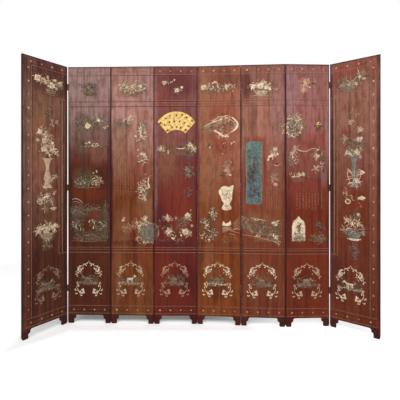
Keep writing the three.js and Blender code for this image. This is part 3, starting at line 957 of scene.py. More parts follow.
def stand(pen, width, height, tint, trim):
    half = width / 2
    pen.cell([(-half, height), (-half, height * 0.78), (half, height * 0.78), (half, height)], tint, 1.6, 0,
             1.2)
    for side in (-1, 1):
        leg = pen.at(side * half * 0.86, 0, flip=side > 0)
        leg.curve([(0, height * 0.8), (-height * 0.12, height * 0.5), (height * 0.05, height * 0.2),
                   (-height * 0.16, 0)], 4, 6, tint, 1.5, (1, 0.6))
        leg.curve([(2, height * 0.76), (half * 0.3, height * 0.66), (half * 0.62, height * 0.74)], 3, 4, trim,
                  1.0)


def ribbon(pen, path, width, tint, rise=1.2):
    pen.curve(path, 5, width, tint, rise, (0.6, 0.1))


def ring(pen, radius, width, tint, trim):
    pen.loop(circle(0, 0, radius, 22), width, tint, 1.7)
    pen.raised(0.6).loop(circle(0, 0, radius + width * 0.45, 22), 1.6, trim, 0.9)


def scrollRoll(pen, length, tint, trim):
    half = length / 2
    pen.cell([(-half, -7), (half, -7), (half, 7), (-half, 7)], tint, 1.8, 0.0, 2.2)
    for side in (-1, 1):
        pen.cell([(side * half, -4), (side * (half + 9), -5), (side * (half + 9), 5), (side * half, 4)], trim,
                 1.6, 0.0, 1.0)
    pen.raised(1.2).band([(-3, -7), (3, 7)], 3, trim, 0.8)


def lozenge(pen, half, tint, trim):
    corners = [(-half, 0), (0, -half * 0.62), (half, 0), (0, half * 0.62)]
    pen.cell(corners, tint, 1.5, 0.5, 1.5)
    pen.raised(0.8).loop([(u * 0.66, z * 0.66) for u, z in corners], 1.6, trim, 0.9)


def cloud(pen, width, tint, thick):
    half = width / 2
    for side in (-1, 1):
        puff = sized([(0, 0), (0.35, 0.22), (0.7, 0.2), (0.86, 0), (0.66, -0.14), (0.5, 0), (0.62, 0.08)],
                     half, half)
        pen.at(0, 0, flip=side < 0).curve(puff, 4, thick, tint, 1.0, (0.7, 0.3))
    pen.curve(sized([(-1, -0.22), (0, -0.12), (1, -0.24)], half, half), 5, thick * 0.8, tint, 0.9, 0.1)


def rock(pen, width, height, tint, edge, seed):
    dice = random.Random(seed)
    half = width / 2
    outline = [(-1, 0), (-0.86, 0.34), (-0.4, 0.52), (-0.3, 0.86), (0.1, 1), (0.34, 0.66), (0.8, 0.5), (1, 0)]
    outline = [(u + dice.uniform(-4, 4), z + dice.uniform(-4, 4) * (z > 0))
               for u, z in sized(outline, half, height)]
    pen.cell(smooth(outline, 2, True), tint, 1.3, 0.0, 1.6)
    ridge = pen.raised(0.7)
    ridge.curve(outline[:5], 3, 2.4, edge, 0.9)
    for index in range(4):
        u, z = dice.uniform(-0.5, 0.5) * half, dice.uniform(0.15, 0.6) * height
        ridge.curve([(u, z), (u + width * 0.08, z + height * 0.14), (u + width * 0.02, z + height * 0.26)], 3,
                    2, edge, 0.8)


def pineTree(pen, height, lean, tint, bark, seed, pads):
    dice = random.Random(seed)
    trunk = smooth([(0, 0), (lean * 0.5, height * 0.3), (lean * 0.2, height * 0.62), (lean, height)], 5)
    pen.band(trunk, height * 0.07, bark, 1.4, (1.0, 0.3))
    for index in range(pads):
        spot = trunk[int((0.35 + 0.65 * index / max(pads - 1, 1)) * (len(trunk) - 1))]
        side = -1 if index % 2 else 1
        u, z = spot[0] + side * height * dice.uniform(0.06, 0.22), spot[1] + dice.uniform(-4, 6)
        pen.band([spot, (u, z)], 2.4, bark, 1.0)
        for step in range(7):
            angle = 20 + 140 * step / 6
            reach = height * 0.085 * dice.uniform(0.8, 1.2)
            pen.band([(u, z), (u + reach * 1.5 * math.cos(math.radians(angle)),
                               z + reach * math.sin(math.radians(angle)))], 2.2, tint, 1.1)


def robedFigure(pen, height, robe, sash="coral"):  # small, as in a landscape
    gown = [(-0.16, 0), (-0.13, 0.42), (-0.09, 0.76), (0.09, 0.76), (0.14, 0.42), (0.20, 0)]
    pen.cell(smooth(sized(gown, height, height), 2, True), robe, 1.3, 0.4, 1.0)
    pen.curve(sized([(-0.06, 0.68), (0.12, 0.48), (0.24, 0.52)], height, height), 3, height * 0.10, robe, 1.7)
    pen.raised(0.8).band(sized([(-0.13, 0.42), (0.14, 0.40)], height, height), height * 0.05, sash, 0.9)
    pen.bead(height * 0.01, height * 0.86, height * 0.085, "blush", 1.6)
    pen.raised(0.3).bead(-height * 0.01, height * 0.94, height * 0.055, "ink", 1.6)


def boat(pen, length, tint, trim):
    half = length / 2
    hull = smooth([(-half, 10), (-half * 0.5, -2), (half * 0.4, -3), (half, 12)], 4)
    pen.cell(hull + [(half * 0.4, 5), (-half * 0.5, 5)], tint, 1.3, 0.0, 0.8)
    pen.cell(smooth([(-half * 0.34, 5), (-half * 0.3, 18), (half * 0.16, 20), (half * 0.2, 5)], 2), trim, 1.2,
             0.0, 0.8)
    pen.band([(half * 0.34, 4), (half * 0.38, length * 0.42)], 2, trim, 1.0)


def crane(pen, tint, dark):
    pen.cell(smooth([(-34, 2), (-10, 18), (22, 16), (44, -2), (20, -12), (-16, -10)], 3, True), tint, 1.5,
             0.6, 1.6)
    pen.curve([(36, 4), (54, 20), (52, 42), (66, 54)], 5, 7, tint, 1.7, (1.0, 0.6))
    pen.band([(66, 54), (86, 50)], 3.4, dark, 1.4, (1.0, 0.1))
    pen.bead(65, 55, 5, "coral", 2.2)
    for index in range(5):
        pen.curve([(-6 - index * 5, 8), (-30 - index * 5, 14 + index * 3), (-56 - index * 3, 8 + index * 8)],
                  3, 5, dark if index < 2 else tint, 1.8, (1, 0.1))
    for spread in (-4, 10):
        pen.band([(4, -8), (2 + spread, -36), (6 + spread, -60)], 3, dark, 1.2, (0.8, 0.6))


def curl(pen, start, heading, length, bend, width, tint):  # a stroke that winds up towards its end
    steps = 16
    u, z = start
    angle = math.radians(heading)
    path = [(u, z)]
    for step in range(steps):
        share = step / (steps - 1)
        angle += math.radians(bend) * (0.35 + 1.5 * share * share) / steps * 1.6
        stride = length / steps * (1.15 - 0.75 * share)
        u, z = u + stride * math.cos(angle), z + stride * math.sin(angle)
        path.append((u, z))
    pen.band(path, width, tint, 1.5, (0.5, 0.55))
    pen.bead(u, z, width * 0.52, tint, 1.9)


corners = {  # the stem, then scrolls: start, heading, length, bend and width, from the middle line outwards
    "upper": ([(3, 180), (8, 160), (26, 149), (46, 143), (60, 130), (84, 127), (106, 111), (119, 90),
               (126, 62), (125, 36)], (
        ((9, 162), -80, 32, 200, 5), ((30, 149), -60, 40, -220, 5.5), ((44, 144), 50, 26, -200, 5),
        ((74, 128), -8, 128, -240, 6.5),
        ((92, 102), 180, 48, 250, 6), ((120, 90), -150, 40, -230, 6), ((125, 64), 150, 42, 240, 6),
        ((126, 48), -40, 28, 200, 5.5),
        ((60, 116), -120, 38, 230, 5.5), ((104, 112), 50, 28, -200, 5), ((126, 44), 215, 36, 240, 5),
        ((104, 96), -70, 60, -240, 6), ((84, 122), 60, 34, -210, 5))),
    "lower": ([(122, -20), (116, -42), (126, -62), (128, -84)], (
        ((127, -80), -104, 176, -236, 7), ((88, -140), 165, 100, -225, 6.5), ((100, -104), 200, 60, 250, 6),
        ((127, -104), -20, 46, 190, 6.5),
        ((118, -130), -60, 46, 190, 6.5), ((94, -142), -110, 46, -190, 6.5), ((66, -128), 215, 44, -200, 6.5),
        ((62, -104), 150, 34, -200, 6),
        ((120, -44), 10, 34, 200, 5.5), ((116, -48), 200, 46, 240, 5.5))),
}


def corner(pen, place, tint):
    stem, scrolls = corners[place]
    pen.curve(stem, 4, 4.6, tint, 1.5, 0.3)
    for scroll in scrolls:
        curl(pen, *scroll, tint)


beasts = {  # body half length and height, leg, neck, what stands on the head, the tail and the coat
    "lion": dict(body=(44, 20), leg=26, neck=(16, 14), horn=None, tail="plume", coat="slate", mane="cream"),
    "horse": dict(body=(40, 17), leg=34, neck=(20, 26), horn=None, tail="fall", coat="ivory", mane="ochre"),
    "ox": dict(body=(46, 22), leg=24, neck=(14, 6), horn="curved", tail="thin", coat="slate", mane=None),
    "tiger": dict(body=(50, 17), leg=22, neck=(14, 10), horn=None, tail="thin", coat="sage", mane=None),
    "deer": dict(body=(38, 16), leg=36, neck=(16, 30), horn="branched", tail="short", coat="khaki",
                 mane=None),
    "elephant": dict(body=(46, 28), leg=26, neck=(8, 8), horn="trunk", tail="thin", coat="khaki", mane=None),
    "hound": dict(body=(42, 15), leg=26, neck=(18, 16), horn=None, tail="plume", coat="ivory", mane=None),
}


def beast(pen, kind):  # faces right, with its body's middle at the pen's place
    form = beasts[kind]
    long, deep = form["body"]
    coat, leg = form["coat"], form["leg"]
    mark = "ink" if coat != "slate" else "cream"
    floor = -deep - leg
    for u, lean in ((-long * 0.72, -4), (-long * 0.46, 6), (long * 0.46, -4), (long * 0.72, 6)):
        pen.curve([(u, -deep * 0.3), (u + lean * 0.8, floor * 0.6), (u + lean * 0.3, floor + 2),
                   (u + lean * 0.3 + 6, floor)], 3, 8, coat, 1.3, (1, 0.7))
    body = [(-1, 0), (-0.8, 0.8), (-0.2, 0.72), (0.5, 0.95), (1, 0.4), (0.86, -0.6), (0.1, -0.7),
            (-0.7, -0.75)]
    pen.cell(smooth(sized(body, long, deep), 2, True), coat, 1.6, 0.6, 2.0)
    reach, lift = form["neck"]
    headU, headZ = long + reach, deep * 0.5 + lift
    pen.band([(long * 0.7, deep * 0.2), (headU, headZ)], deep * 0.95, coat, 1.9, (1.0, 0.7))
    head = pen.at(headU, headZ, -12, lift=0.4)
    head.cell(smooth([(-12, -4), (-8, 10), (6, 11), (22, 1), (20, -6), (4, -9)], 2, True), coat, 1.8, 0.5,
              1.6)
    head.bead(4, 3, 1.8, mark, 3.0, 7)
    head.cell(smooth([(-9, 8), (-8, 18), (-1, 9)], 2, True), coat, 2.0, 0.0, 0.8)
    if form["horn"] == "curved":
        head.curve([(2, 9), (10, 22), (2, 30)], 4, 4, "cream", 2.0, (1, 0.2))
    if form["horn"] == "branched":
        head.curve([(0, 9), (-6, 24), (2, 42)], 4, 3, "cream", 1.9, (1, 0.2))
        head.band([(-5, 22), (-16, 32)], 2.4, "cream", 1.8)
        head.band([(-3, 30), (8, 38)], 2.4, "cream", 1.8)
    if form["horn"] == "trunk":
        head.curve([(18, -2), (28, -16), (22, -34), (30, -42)], 4, 7, coat, 1.9, (1, 0.4))
        head.cell(smooth([(-16, 10), (-24, -6), (-12, -16), (-4, 0)], 2, True), coat, 2.3, 0.0, 1.2)
        head.curve([(14, -6), (26, -14), (34, -12)], 3, 3, "ivory", 2.2)
    if form["mane"]:
        for index in range(7):
            angle = 60 + index * 32
            head.bead(-6 + 11 * math.cos(math.radians(angle)), 1 + 12 * math.sin(math.radians(angle)), 5,
                      form["mane"], 2.2, 8)
    tails = {
        "plume": ([(-long, 4), (-long - 18, 16), (-long - 14, 36)], 8),
        "fall": ([(-long, 6), (-long - 14, 2), (-long - 16, -26)], 7),
        "thin": ([(-long, 4), (-long - 20, 6), (-long - 26, 24)], 3.4),
        "short": ([(-long, 6), (-long - 10, 12)], 6),
    }
    path, thick = tails[form["tail"]]
    pen.curve(path, 4, thick, form["mane"] or coat, 1.6, (0.7, 0.4))
    if kind == "tiger":
        for index in range(6):
            u = -long * 0.8 + index * long * 0.3
            pen.raised(1.4).band([(u, deep * 0.6), (u + 5, -deep * 0.1)], 3, "ink", 1.0)
    else:
        pen.raised(1.4).curve(sized([(-0.7, -0.1), (0, -0.25), (0.6, 0)], long, deep), 4, 2, mark, 0.8)


cartoucheMiddle = 417  # millimetres above the floor
cartoucheOf = {  # for each leaf: the middle's u, the beast, the tint and how wide its corners stand
    1: (226, "lion", "khaki", 0.80), 2: (198, "ox", "ivory", 0.89), 3: (190, "horse", "cream", 0.90),
    4: (196, "ox", "blush", 0.94), 5: (192, "tiger", "ivory", 0.96), 6: (198, "deer", "ivory", 0.96),
    7: (198, "elephant", "cream", 0.94), 8: (176, "hound", "ivory", 0.84),
}


def cartouche(leaf, centre, kind, tint, wide):  # four scrolled corners round a beast on broken ground
    pen = drawn(leaf, "cartouche").at(centre, cartoucheMiddle)
    for side in (False, True):
        half = pen.at(0, 0, flip=side)
        half.grid = (half.grid[0] * wide,) + half.grid[1:]
        for place in corners:
            corner(half, place, tint)
    ground = {5: "ivory", 8: "ivory", 3: "cream"}.get(leaf, "khaki")
    thicket(pen, ((0, 2, 88, 44), (-6, -36, 100, 14)), ("khaki", "olive", "sage", "moss"), leaf * 5, 0.8)
    thicket(pen, ((0, -30, 104, 12),), (ground, "khaki"), leaf * 9, 1.0)
    thicket(pen, ((88, 84, 34, 40), (-88, 84, 34, 40)), (tint, "khaki"), leaf * 7, 0.3)
    beast(pen.at(-6, 8, flip=leaf % 2 == 0, size=0.74, lift=0.5), kind)
    thick = 11 if leaf == 5 else 5
    pen.curve([(-110, -14), (-84, -32), (-40, -30), (10, -36), (60, -40), (92, -30), (108, -16)], 4, thick,
              ground, 1.5, 0.3)
    pen.curve([(-60, -56), (-20, -50), (30, -56)], 4, 2.6, "sage", 1.0, 0.2)
    for side in (-1, 1):
        tuft(pen.at(side * 78, -42), 5, 26, 12, "sage", leaf * 3 + side, 2.4)
    rock(pen.at(-70 if leaf % 2 else 66, -48), 34, 34, "sage", "cream", leaf)
    spray(pen.at(-92 if leaf % 2 else 92, -30, flip=leaf % 2 == 0), [(0, 0), (10, 30), (4, 62)], 6, 18, 6,
          "sage")


border = {
    "lineWidth": 3.6,
    "dotPitch": 100, "sidePitch": 118,
    "blossom": 8.5,
    "sideLines": (26, 78), "sideDots": 52,  # leaf 1, and mirrored on the last leaf
    "topLine": 2362, "topDots": 2393, "rim": 2422, "sideFrom": 190, "grooveDown": 8,
    "lowLines": (168, 97), "lowDots": 130,
    "edgeMargin": 8,  # ruled lines stop short of a leaf's edge
    "backLines": ((26, "ochre", 2.6), (36, "dullLine", 4.5)), "backFoot": 190, "backSprig": (52, 250, 70),
}
panel = {
    "upper": ((2117, "line", 3.6), (2106, "groove", 4.2), (2095, "line", 3.2), (2070, "line", 2.6),
              (2059, "groove", 5.0)),
    "lower": ((723, "line", 3.2), (712, "groove", 4.0), (705, "line", 3.2), (688, "groove", 4.0),
              (676, "line", 4.0)),
    "wingBottom": 676, "wingTop": 2117,
    "leftWing": ((327, "line", 3.4), (338, "groove", 4.0), (362, "line", 5.6), (372, "groove", 5.0)),
    "rightWing": ((25, "groove", 5.0), (38, "line", 6.0), (52, "groove", 4.0), (64, "line", 3.4)),
}


def rule(pen, start, end, tint, width):
    pen.band([start, end], width, tint, 0.5 if tint != "groove" else 0.3, 1)


def vine(pen, start, end, seed):  # a thin stem with small leaves, between two blossoms
    dice = random.Random(seed)
    steps = 4
    path = []
    for step in range(steps + 1):
        share = step / steps
        sway = 5 * math.sin(share * 2 * math.pi + seed)
        u, z = start[0] + (end[0] - start[0]) * share, start[1] + (end[1] - start[1]) * share
        along = math.atan2(end[1] - start[1], end[0] - start[0])
        path.append((u - sway * math.sin(along), z + sway * math.cos(along)))
    pen.curve(path, 3, 1.8, "dullLine", 0.5, 0.4)
    for spot in path[1:-1]:
        blade(pen.at(*spot), dice.uniform(0, 360), 11, 4, "dullLine", None)


def borderRow(pen, start, end, seed, skip=(), pitch="dotPitch"):
    length = math.dist(start, end)
    count = max(2, round(length / border[pitch]))
    spots = [(start[0] + (end[0] - start[0]) * (i + 0.5) / count,
              start[1] + (end[1] - start[1]) * (i + 0.5) / count)
             for i in range(count)]
    dice = random.Random(seed)
    for index, spot in enumerate(spots):
        if index in skip:
            continue
        faint = dice.random() < 0.6
        flower(pen.at(*spot), border["blossom"] * dice.uniform(0.85, 1.1), "blush" if faint else "cream",
               "coral", 4, 0.9, dice.uniform(0, 90), 0.9)
    for index, (first, second) in enumerate(zip(spots, spots[1:])):
        gap = 0.16
        a = (first[0] + (second[0] - first[0]) * gap, first[1] + (second[1] - first[1]) * gap)
        b = (second[0] - (second[0] - first[0]) * gap, second[1] - (second[1] - first[1]) * gap)
        vine(pen, a, b, seed * 7 + index)


def borders(leaf):
    pen = drawn(leaf, "borders")
    left, right = border["edgeMargin"], leafWidth - border["edgeMargin"]
    first, last = leaf == 1, leaf == leafCount
    near, far = border["sideLines"]
    topFrom, topTo = left, right
    if first:
        topFrom = far
    if last:
        topTo = leafWidth - far
    rule(pen, (topFrom, border["topLine"]), (topTo, border["topLine"]), "line", 3.2)
    under = border["topLine"] - border["grooveDown"]
    rule(pen, (topFrom, under), (topTo, under), "dullLine" if leaf > leafCount / 2 else "groove", 3.4)
    outerFrom, outerTo = (near if first else left), (leafWidth - near if last else right)
    rule(pen, (outerFrom, border["rim"]), (outerTo, border["rim"]), "dullLine", 3.0)
    bare = range(9) if leaf in (2, 3) else ()
    borderRow(pen, (outerFrom, border["topDots"]), (outerTo, border["topDots"]), leaf, bare)
    for height in border["lowLines"]:
        rule(pen, (outerFrom, height), (outerTo, height), "line", 3.4)
    borderRow(pen, (outerFrom, border["lowDots"]), (outerTo, border["lowDots"]), leaf + 20)
    if first or last:
        place = (lambda u: u) if first else (lambda u: leafWidth - u)
        rule(pen, (place(near), border["lowLines"][1]), (place(near), border["rim"]), "dullLine",
             border["lineWidth"])
        rule(pen, (place(far), border["lowLines"][0]), (place(far), border["topLine"]), "line",
             border["lineWidth"])
        rule(pen, (place(far + 7), border["lowLines"][0]), (place(far + 7), border["topLine"]), "groove", 3.4)
        middle = place(border["sideDots"])
        borderRow(pen, (middle, border["sideFrom"]), (middle, border["topDots"]), leaf + 40,
                  pitch="sidePitch")
        lines = panel["leftWing"] if first else panel["rightWing"]
        for u, tint, width in lines:
            rule(pen, (u, panel["wingBottom"]), (u, panel["wingTop"]), tint, width)
        start, end = (lines[0][0], right) if first else (left, lines[-1][0])
        for height in (panel["wingBottom"], panel["wingTop"]):
            rule(pen, (start, height), (end, height), "line", 3.6)
    else:
        for height, tint, width in panel["upper"] + panel["lower"]:
            soft = leaf > leafCount / 2 and height > panel["wingBottom"] * 2 and tint == "groove"
            rule(pen, (left, height), (right, height), "dullLine" if soft else tint, width)


def backFrame(leaf):  # the backs aren't in the picture: plain dark lacquer with a ruled double frame
    pen = drawn(leaf, "back_frame", back=True)
    for margin, tint, width in border["backLines"]:
        low, high = border["backFoot"] + margin, leafHeight - margin - 6
        left, right = margin, leafWidth - margin
        corners = [(left, low), (right, low), (right, high), (left, high)]
        for here, there in zip(corners, corners[1:] + corners[:1]):
            rule(pen, here, there, tint, width)
    near, low, down = border["backSprig"]
    far, high = leafWidth - near, leafHeight - down
    for u, z, turn in ((near, low, 0), (far, low, 90), (far, high, 180), (near, high, 270)):
        corner = pen.at(u, z, turn)
        curl(corner, (0, 0), 10, 60, 200, 4, "ochre")
        curl(corner, (0, 0), 80, 60, -200, 4, "ochre")
        flower(corner, 9, "dullLine", "ochre", 5)


# slanting rafters between two slopes
def roofLines(pen, highLeft, lowLeft, highRight, lowRight, count, tint):
    for index in range(count):
        share = index / (count - 1)
        start = (highLeft[0] + (highRight[0] - highLeft[0]) * share,
                 highLeft[1] + (highRight[1] - highLeft[1]) * share)
        end = (lowLeft[0] + (lowRight[0] - lowLeft[0]) * share,
               lowLeft[1] + (lowRight[1] - lowLeft[1]) * share)
        pen.band([start, end], 3.2, tint, 0.9, 0.5)


def quietColumns(leaf, left, right, low, high, count, tint, seed):  # plain beads in rows, no writing
    pen = drawn(leaf, "bead_columns")
    dice = random.Random(seed)
    for index in range(count):
        u = left + (right - left) * index / max(count - 1, 1)
        z = high - dice.uniform(0, 10)
        while z > low + (high - low) * dice.uniform(0.0, 0.12):
            if dice.random() < 0.86:
                pen.cell([(u - 4, z), (u, z - 4.6), (u + 4, z), (u, z + 4.6)], tint, 0.55, 0.0, 0.8)
            z -= 14


felt = feltMaterial()
for number in range(2, leafCount - 1):
    if number <= leafCount / 2:
        feltStrip(number + 1, -1, number % 2 == 1)
    else:
        feltStrip(number, 1, number % 2 == 1)
for leaf in leafPlaces:
    hingeScrews(leaf)
print("folds lined")

for leaf in leafPlaces:
    borders(leaf)
    backFrame(leaf)
for leaf, facts in cartoucheOf.items():
    cartouche(leaf, *facts)
print("borders and cartouches drawn")


# the decoration, leaf by leaf: u and z are millimetres from the leaf's left edge and the floor
def flowerBasket(leaf, name, centre, base, width, height, blooms, basket, trim):
    pen = drawn(leaf, name)
    foliage(pen.at(centre, base + height + 30), 22, width * 0.95, ("sage", "khaki", "moss"), leaf * 11, 30,
            11, 0.5)
    for index, (u, z, radius, tint) in enumerate(blooms):
        middle = (centre + (u - centre) * 0.4, base + height * 0.9)
        pen.curve([middle, ((u + middle[0]) / 2 + 6, (z + middle[1]) / 2), (u, z)], 4, 2.4, "moss", 1.0)
        foliage(pen.at(u, z), 7, radius * 1.35, ("sage", "moss", "khaki"), leaf * 31 + index, radius * 0.9,
                radius * 0.3, 0.8)
        if radius > 20:
            peony(pen.at(u, z, lift=0.5), radius, tint, "cream", "coral", index * 40)
        else:
            flower(pen.at(u, z, lift=0.5), radius, tint, "ochre", 6, 0.75, index * 17)
    basketBody(pen.at(centre, base, lift=0.5), width, height, basket, trim)
    pen.curve([(centre - width * 0.62, base - 4), (centre, base - 9), (centre + width * 0.62, base - 4)], 5,
              4.2, basket, 1.3, 0.2)
    for side in (-1, 1):
        ribbon(pen, [(centre + side * width * 0.3, base + 6), (centre + side * width * 0.62, base - 14),
                     (centre + side * width * 0.8, base - 2)], 4, trim)


def vaseWithFlowers(leaf, centre, base, height, tint, trim, mouth, belly, foot, blooms, tied=True):
    pen = drawn(leaf, "tall_vase")
    foliage(pen.at(centre, base + height + 70), 18, 62, ("slate", "sage", "khaki") if leaf == 8 else ("moss",
            "khaki"), leaf, 34, 12, 0.9)
    for index, (u, z, radius, tint2) in enumerate(blooms):
        start = (centre + (u - centre) * 0.15, base + height - 6)
        spray(pen, [start, ((u + start[0]) / 2 + (8 if index % 2 else -8), (z + start[1]) / 2), (u, z)], 4,
              24, 9, "sage", "umber", 3.4)
        if radius > 22:
            peony(pen.at(u, z, lift=0.6), radius, tint2, "cream", "coral", index * 31)
        else:
            flower(pen.at(u, z, lift=0.6), radius, tint2, "ochre", 7, 0.6, index * 13)
    trumpetVase(pen.at(centre, base, lift=0.4), tint, trim, height, mouth, belly, foot)
    pen = drawn(leaf, "vase_ribbons")
    for side in (-1, 1) if tied else ():
        ribbon(pen, [(centre + side * belly * 0.5, base + height * 0.42),
                     (centre + side * (belly + 26), base + height * 0.55),
                     (centre + side * (belly + 34), base + height * 0.36),
                     (centre + side * (belly + 18), base + height * 0.2),
                     (centre + side * (belly + 36), base + height * 0.02)], 6.5, "cream")
        ribbon(pen, [(centre + side * belly * 0.6, base + height * 0.36),
                     (centre + side * (belly + 16), base + height * 0.26),
                     (centre + side * (belly + 22), base + height * 0.08),
                     (centre + side * (belly + 6), base - 8)], 5, "coral")
        flower(pen.at(centre + side * (belly + 20), base + height * 0.47, lift=0.6), 9, "blush", "coral", 5)
    blade(pen.at(centre + belly * 0.6, base + height * 0.18), 42, belly * 2.2, 18, "cream", trim)


def scatter(leaf, name, items):  # small single blossoms and twigs
    pen = drawn(leaf, name)
    for index, item in enumerate(items):
        kind, u, z, size, tint = item
        spot = pen.at(u, z)
        if kind == "flower":
            foliage(spot, 5, size * 1.2, ("sage", "moss"), leaf * 7 + index, size * 1.3, size * 0.4, 0.9)
            flower(spot.raised(0.5), size, tint, "ochre", 5, 0.85, index * 23)
        elif kind == "peony":
            foliage(spot, 9, size * 1.3, ("sage", "moss", "khaki"), leaf * 7 + index, size, size * 0.34, 0.9)
            peony(spot.raised(0.5), size, tint, "cream", "coral", index * 31)
        elif kind == "daisy":
            foliage(spot, 6, size * 1.25, ("moss", "sage"), leaf * 7 + index, size, size * 0.3, 0.9)
            daisy(spot.raised(0.5), size, tint)
        elif kind == "leaves":
            foliage(spot, 9, size, (tint, "moss"), leaf * 7 + index, size * 0.8, size * 0.28, 0.8)
        elif kind == "bud":
            bud(spot, size, 60 + index * 40, tint)
        elif kind == "sprig":
            twig(spot, [(-size, -size * 0.5), (-size * 0.1, size * 0.05), (size, size * 0.6)], 3.4, "umber",
                 5, size * 0.22, tint, index + leaf, size * 0.5)
        elif kind == "twigUp":
            twig(spot, [(0, -size), (size * 0.2, 0), (-size * 0.1, size)], 3.6, "umber", 6, size * 0.18, tint,
                 index + leaf, size * 0.45)
        elif kind == "fruit":
            blade(spot, 50, size, size * 0.4, "moss", None)
            blade(spot, 130, size, size * 0.4, "sage", None)
            spot.cell(circle(0, 0, size * 0.6, 12), tint, 1.6, 1.0, 2.0)


def coralBranch(pen, height, tint):
    pen.curve([(0, 0), (4, height * 0.4), (-3, height)], 4, 5, tint, 1.6, (1, 0.5))
    for level, reach in ((0.3, 22), (0.48, -24), (0.66, 18), (0.82, -15)):
        pen.curve([(2, height * level), (reach * 0.7, height * (level + 0.04)),
                   (reach, height * (level + 0.2))], 3, 3.6, tint, 1.5, (1, 0.5))


def dish(pen, width, height, tint, trim):
    half = width / 2
    outline = sized([(-0.4, 0), (0.4, 0), (0.72, 0.4), (1, 1), (-1, 1), (-0.72, 0.4)], half, height)
    pen.cell(smooth(outline, 2, True), tint, 1.4, 0, 1.2)
    pen.raised(0.9).band([(-half * 0.96, height * 0.94), (half * 0.96, height * 0.94)], 3, trim, 1.0, 1)


def jar(pen, width, height, tint, trim):
    half = width / 2
    profile = sized([(0.5, 0), (0.62, 0.1), (1, 0.5), (0.8, 0.78), (0.42, 0.86), (0.5, 1)], half, height)
    bands = [(height * level, half * reach, 3) for level, reach in ((0.2, 0.66), (0.5, 0.94), (0.8, 0.7))]
    vessel(pen, profile, tint, trim, bands)


def leafOne():
    flowerBasket(1, "flower_basket", 252, 2146, 92, 44, (
        (132, 2268, 30, "ivory"), (262, 2226, 31, "ivory"), (196, 2242, 22, "blush"),
        (336, 2266, 17, "cream"),
        (304, 2206, 14, "cream"), (222, 2290, 14, "cream"), (290, 2280, 12, "ivory")), "khaki", "umber")
    pen = drawn(1, "bird_branch")
    for path in ([(206, 1984), (240, 1946), (262, 1880), (256, 1830)],
                 [(300, 1970), (282, 1930), (262, 1890)],
                 [(318, 1900), (286, 1880), (262, 1850)]):
        pen.curve(path, 4, 4, "khaki", 1.1, (0.2, 0.6))
    burst(pen, ((262, 1880, 44), (300, 1900, 26)), ("khaki", "cream"), 3, 9)
    vaseWithFlowers(1, 218, 1292, 270, "cream", "khaki", 52, 34, 46, (
        (149, 1790, 20, "ivory"), (192, 1716, 24, "ivory"), (268, 1634, 25, "cream"),
        (184, 1640, 26, "ivory"),
        (228, 1762, 18, "blush"), (262, 1704, 17, "ivory"), (226, 1668, 22, "blush"),
        (132, 1716, 16, "cream")), False)
    pen = drawn(1, "scholar_things")
    ring(pen.at(147, 1176), 21, 7, "cream", "khaki")
    ribbon(pen, [(150, 1198), (164, 1216), (158, 1236)], 4, "coral")
    scrollRoll(pen.at(206, 1212, 24), 66, "ivory", "khaki")
    scrollRoll(pen.at(212, 1228, -10), 52, "blush", "umber")
    lozenge(pen.at(273, 1104), 34, "cream", "coral")
    coralBranch(pen.at(200, 1062), 62, "coral")
    jar(pen.at(262, 1160), 40, 48, "slate", "cream")
    spray(pen, [(280, 1370), (296, 1404), (280, 1440)], 7, 24, 8, "sage", "umber", 3)
    pen = drawn(1, "flower_basin")
    for index, u in enumerate((134, 164, 196, 228, 260, 288)):
        height = 902 + (index * 29 % 52)
        spray(pen, [(216 + (u - 216) * 0.4, 872), (u, height)], 3, 24, 9, "sage", "moss", 3)
        burst(pen, ((u, height, 30),), ("ivory", "cream", "blush"), index, 9)
    blossoms(pen.at(216, 946), 6, 60, 10, ("ivory", "cream"), 6)
    vessel(pen.at(217, 826, lift=0.6), [(30, 0), (38, 8), (52, 26), (60, 48), (64, 54)], "khaki", "cream",
           [(46, 56, 4), (16, 38, 3)])
    thicket(pen, ((217, 780, 44, 40),), ("olive", "khaki", "dullLine"), 53, 0.8)


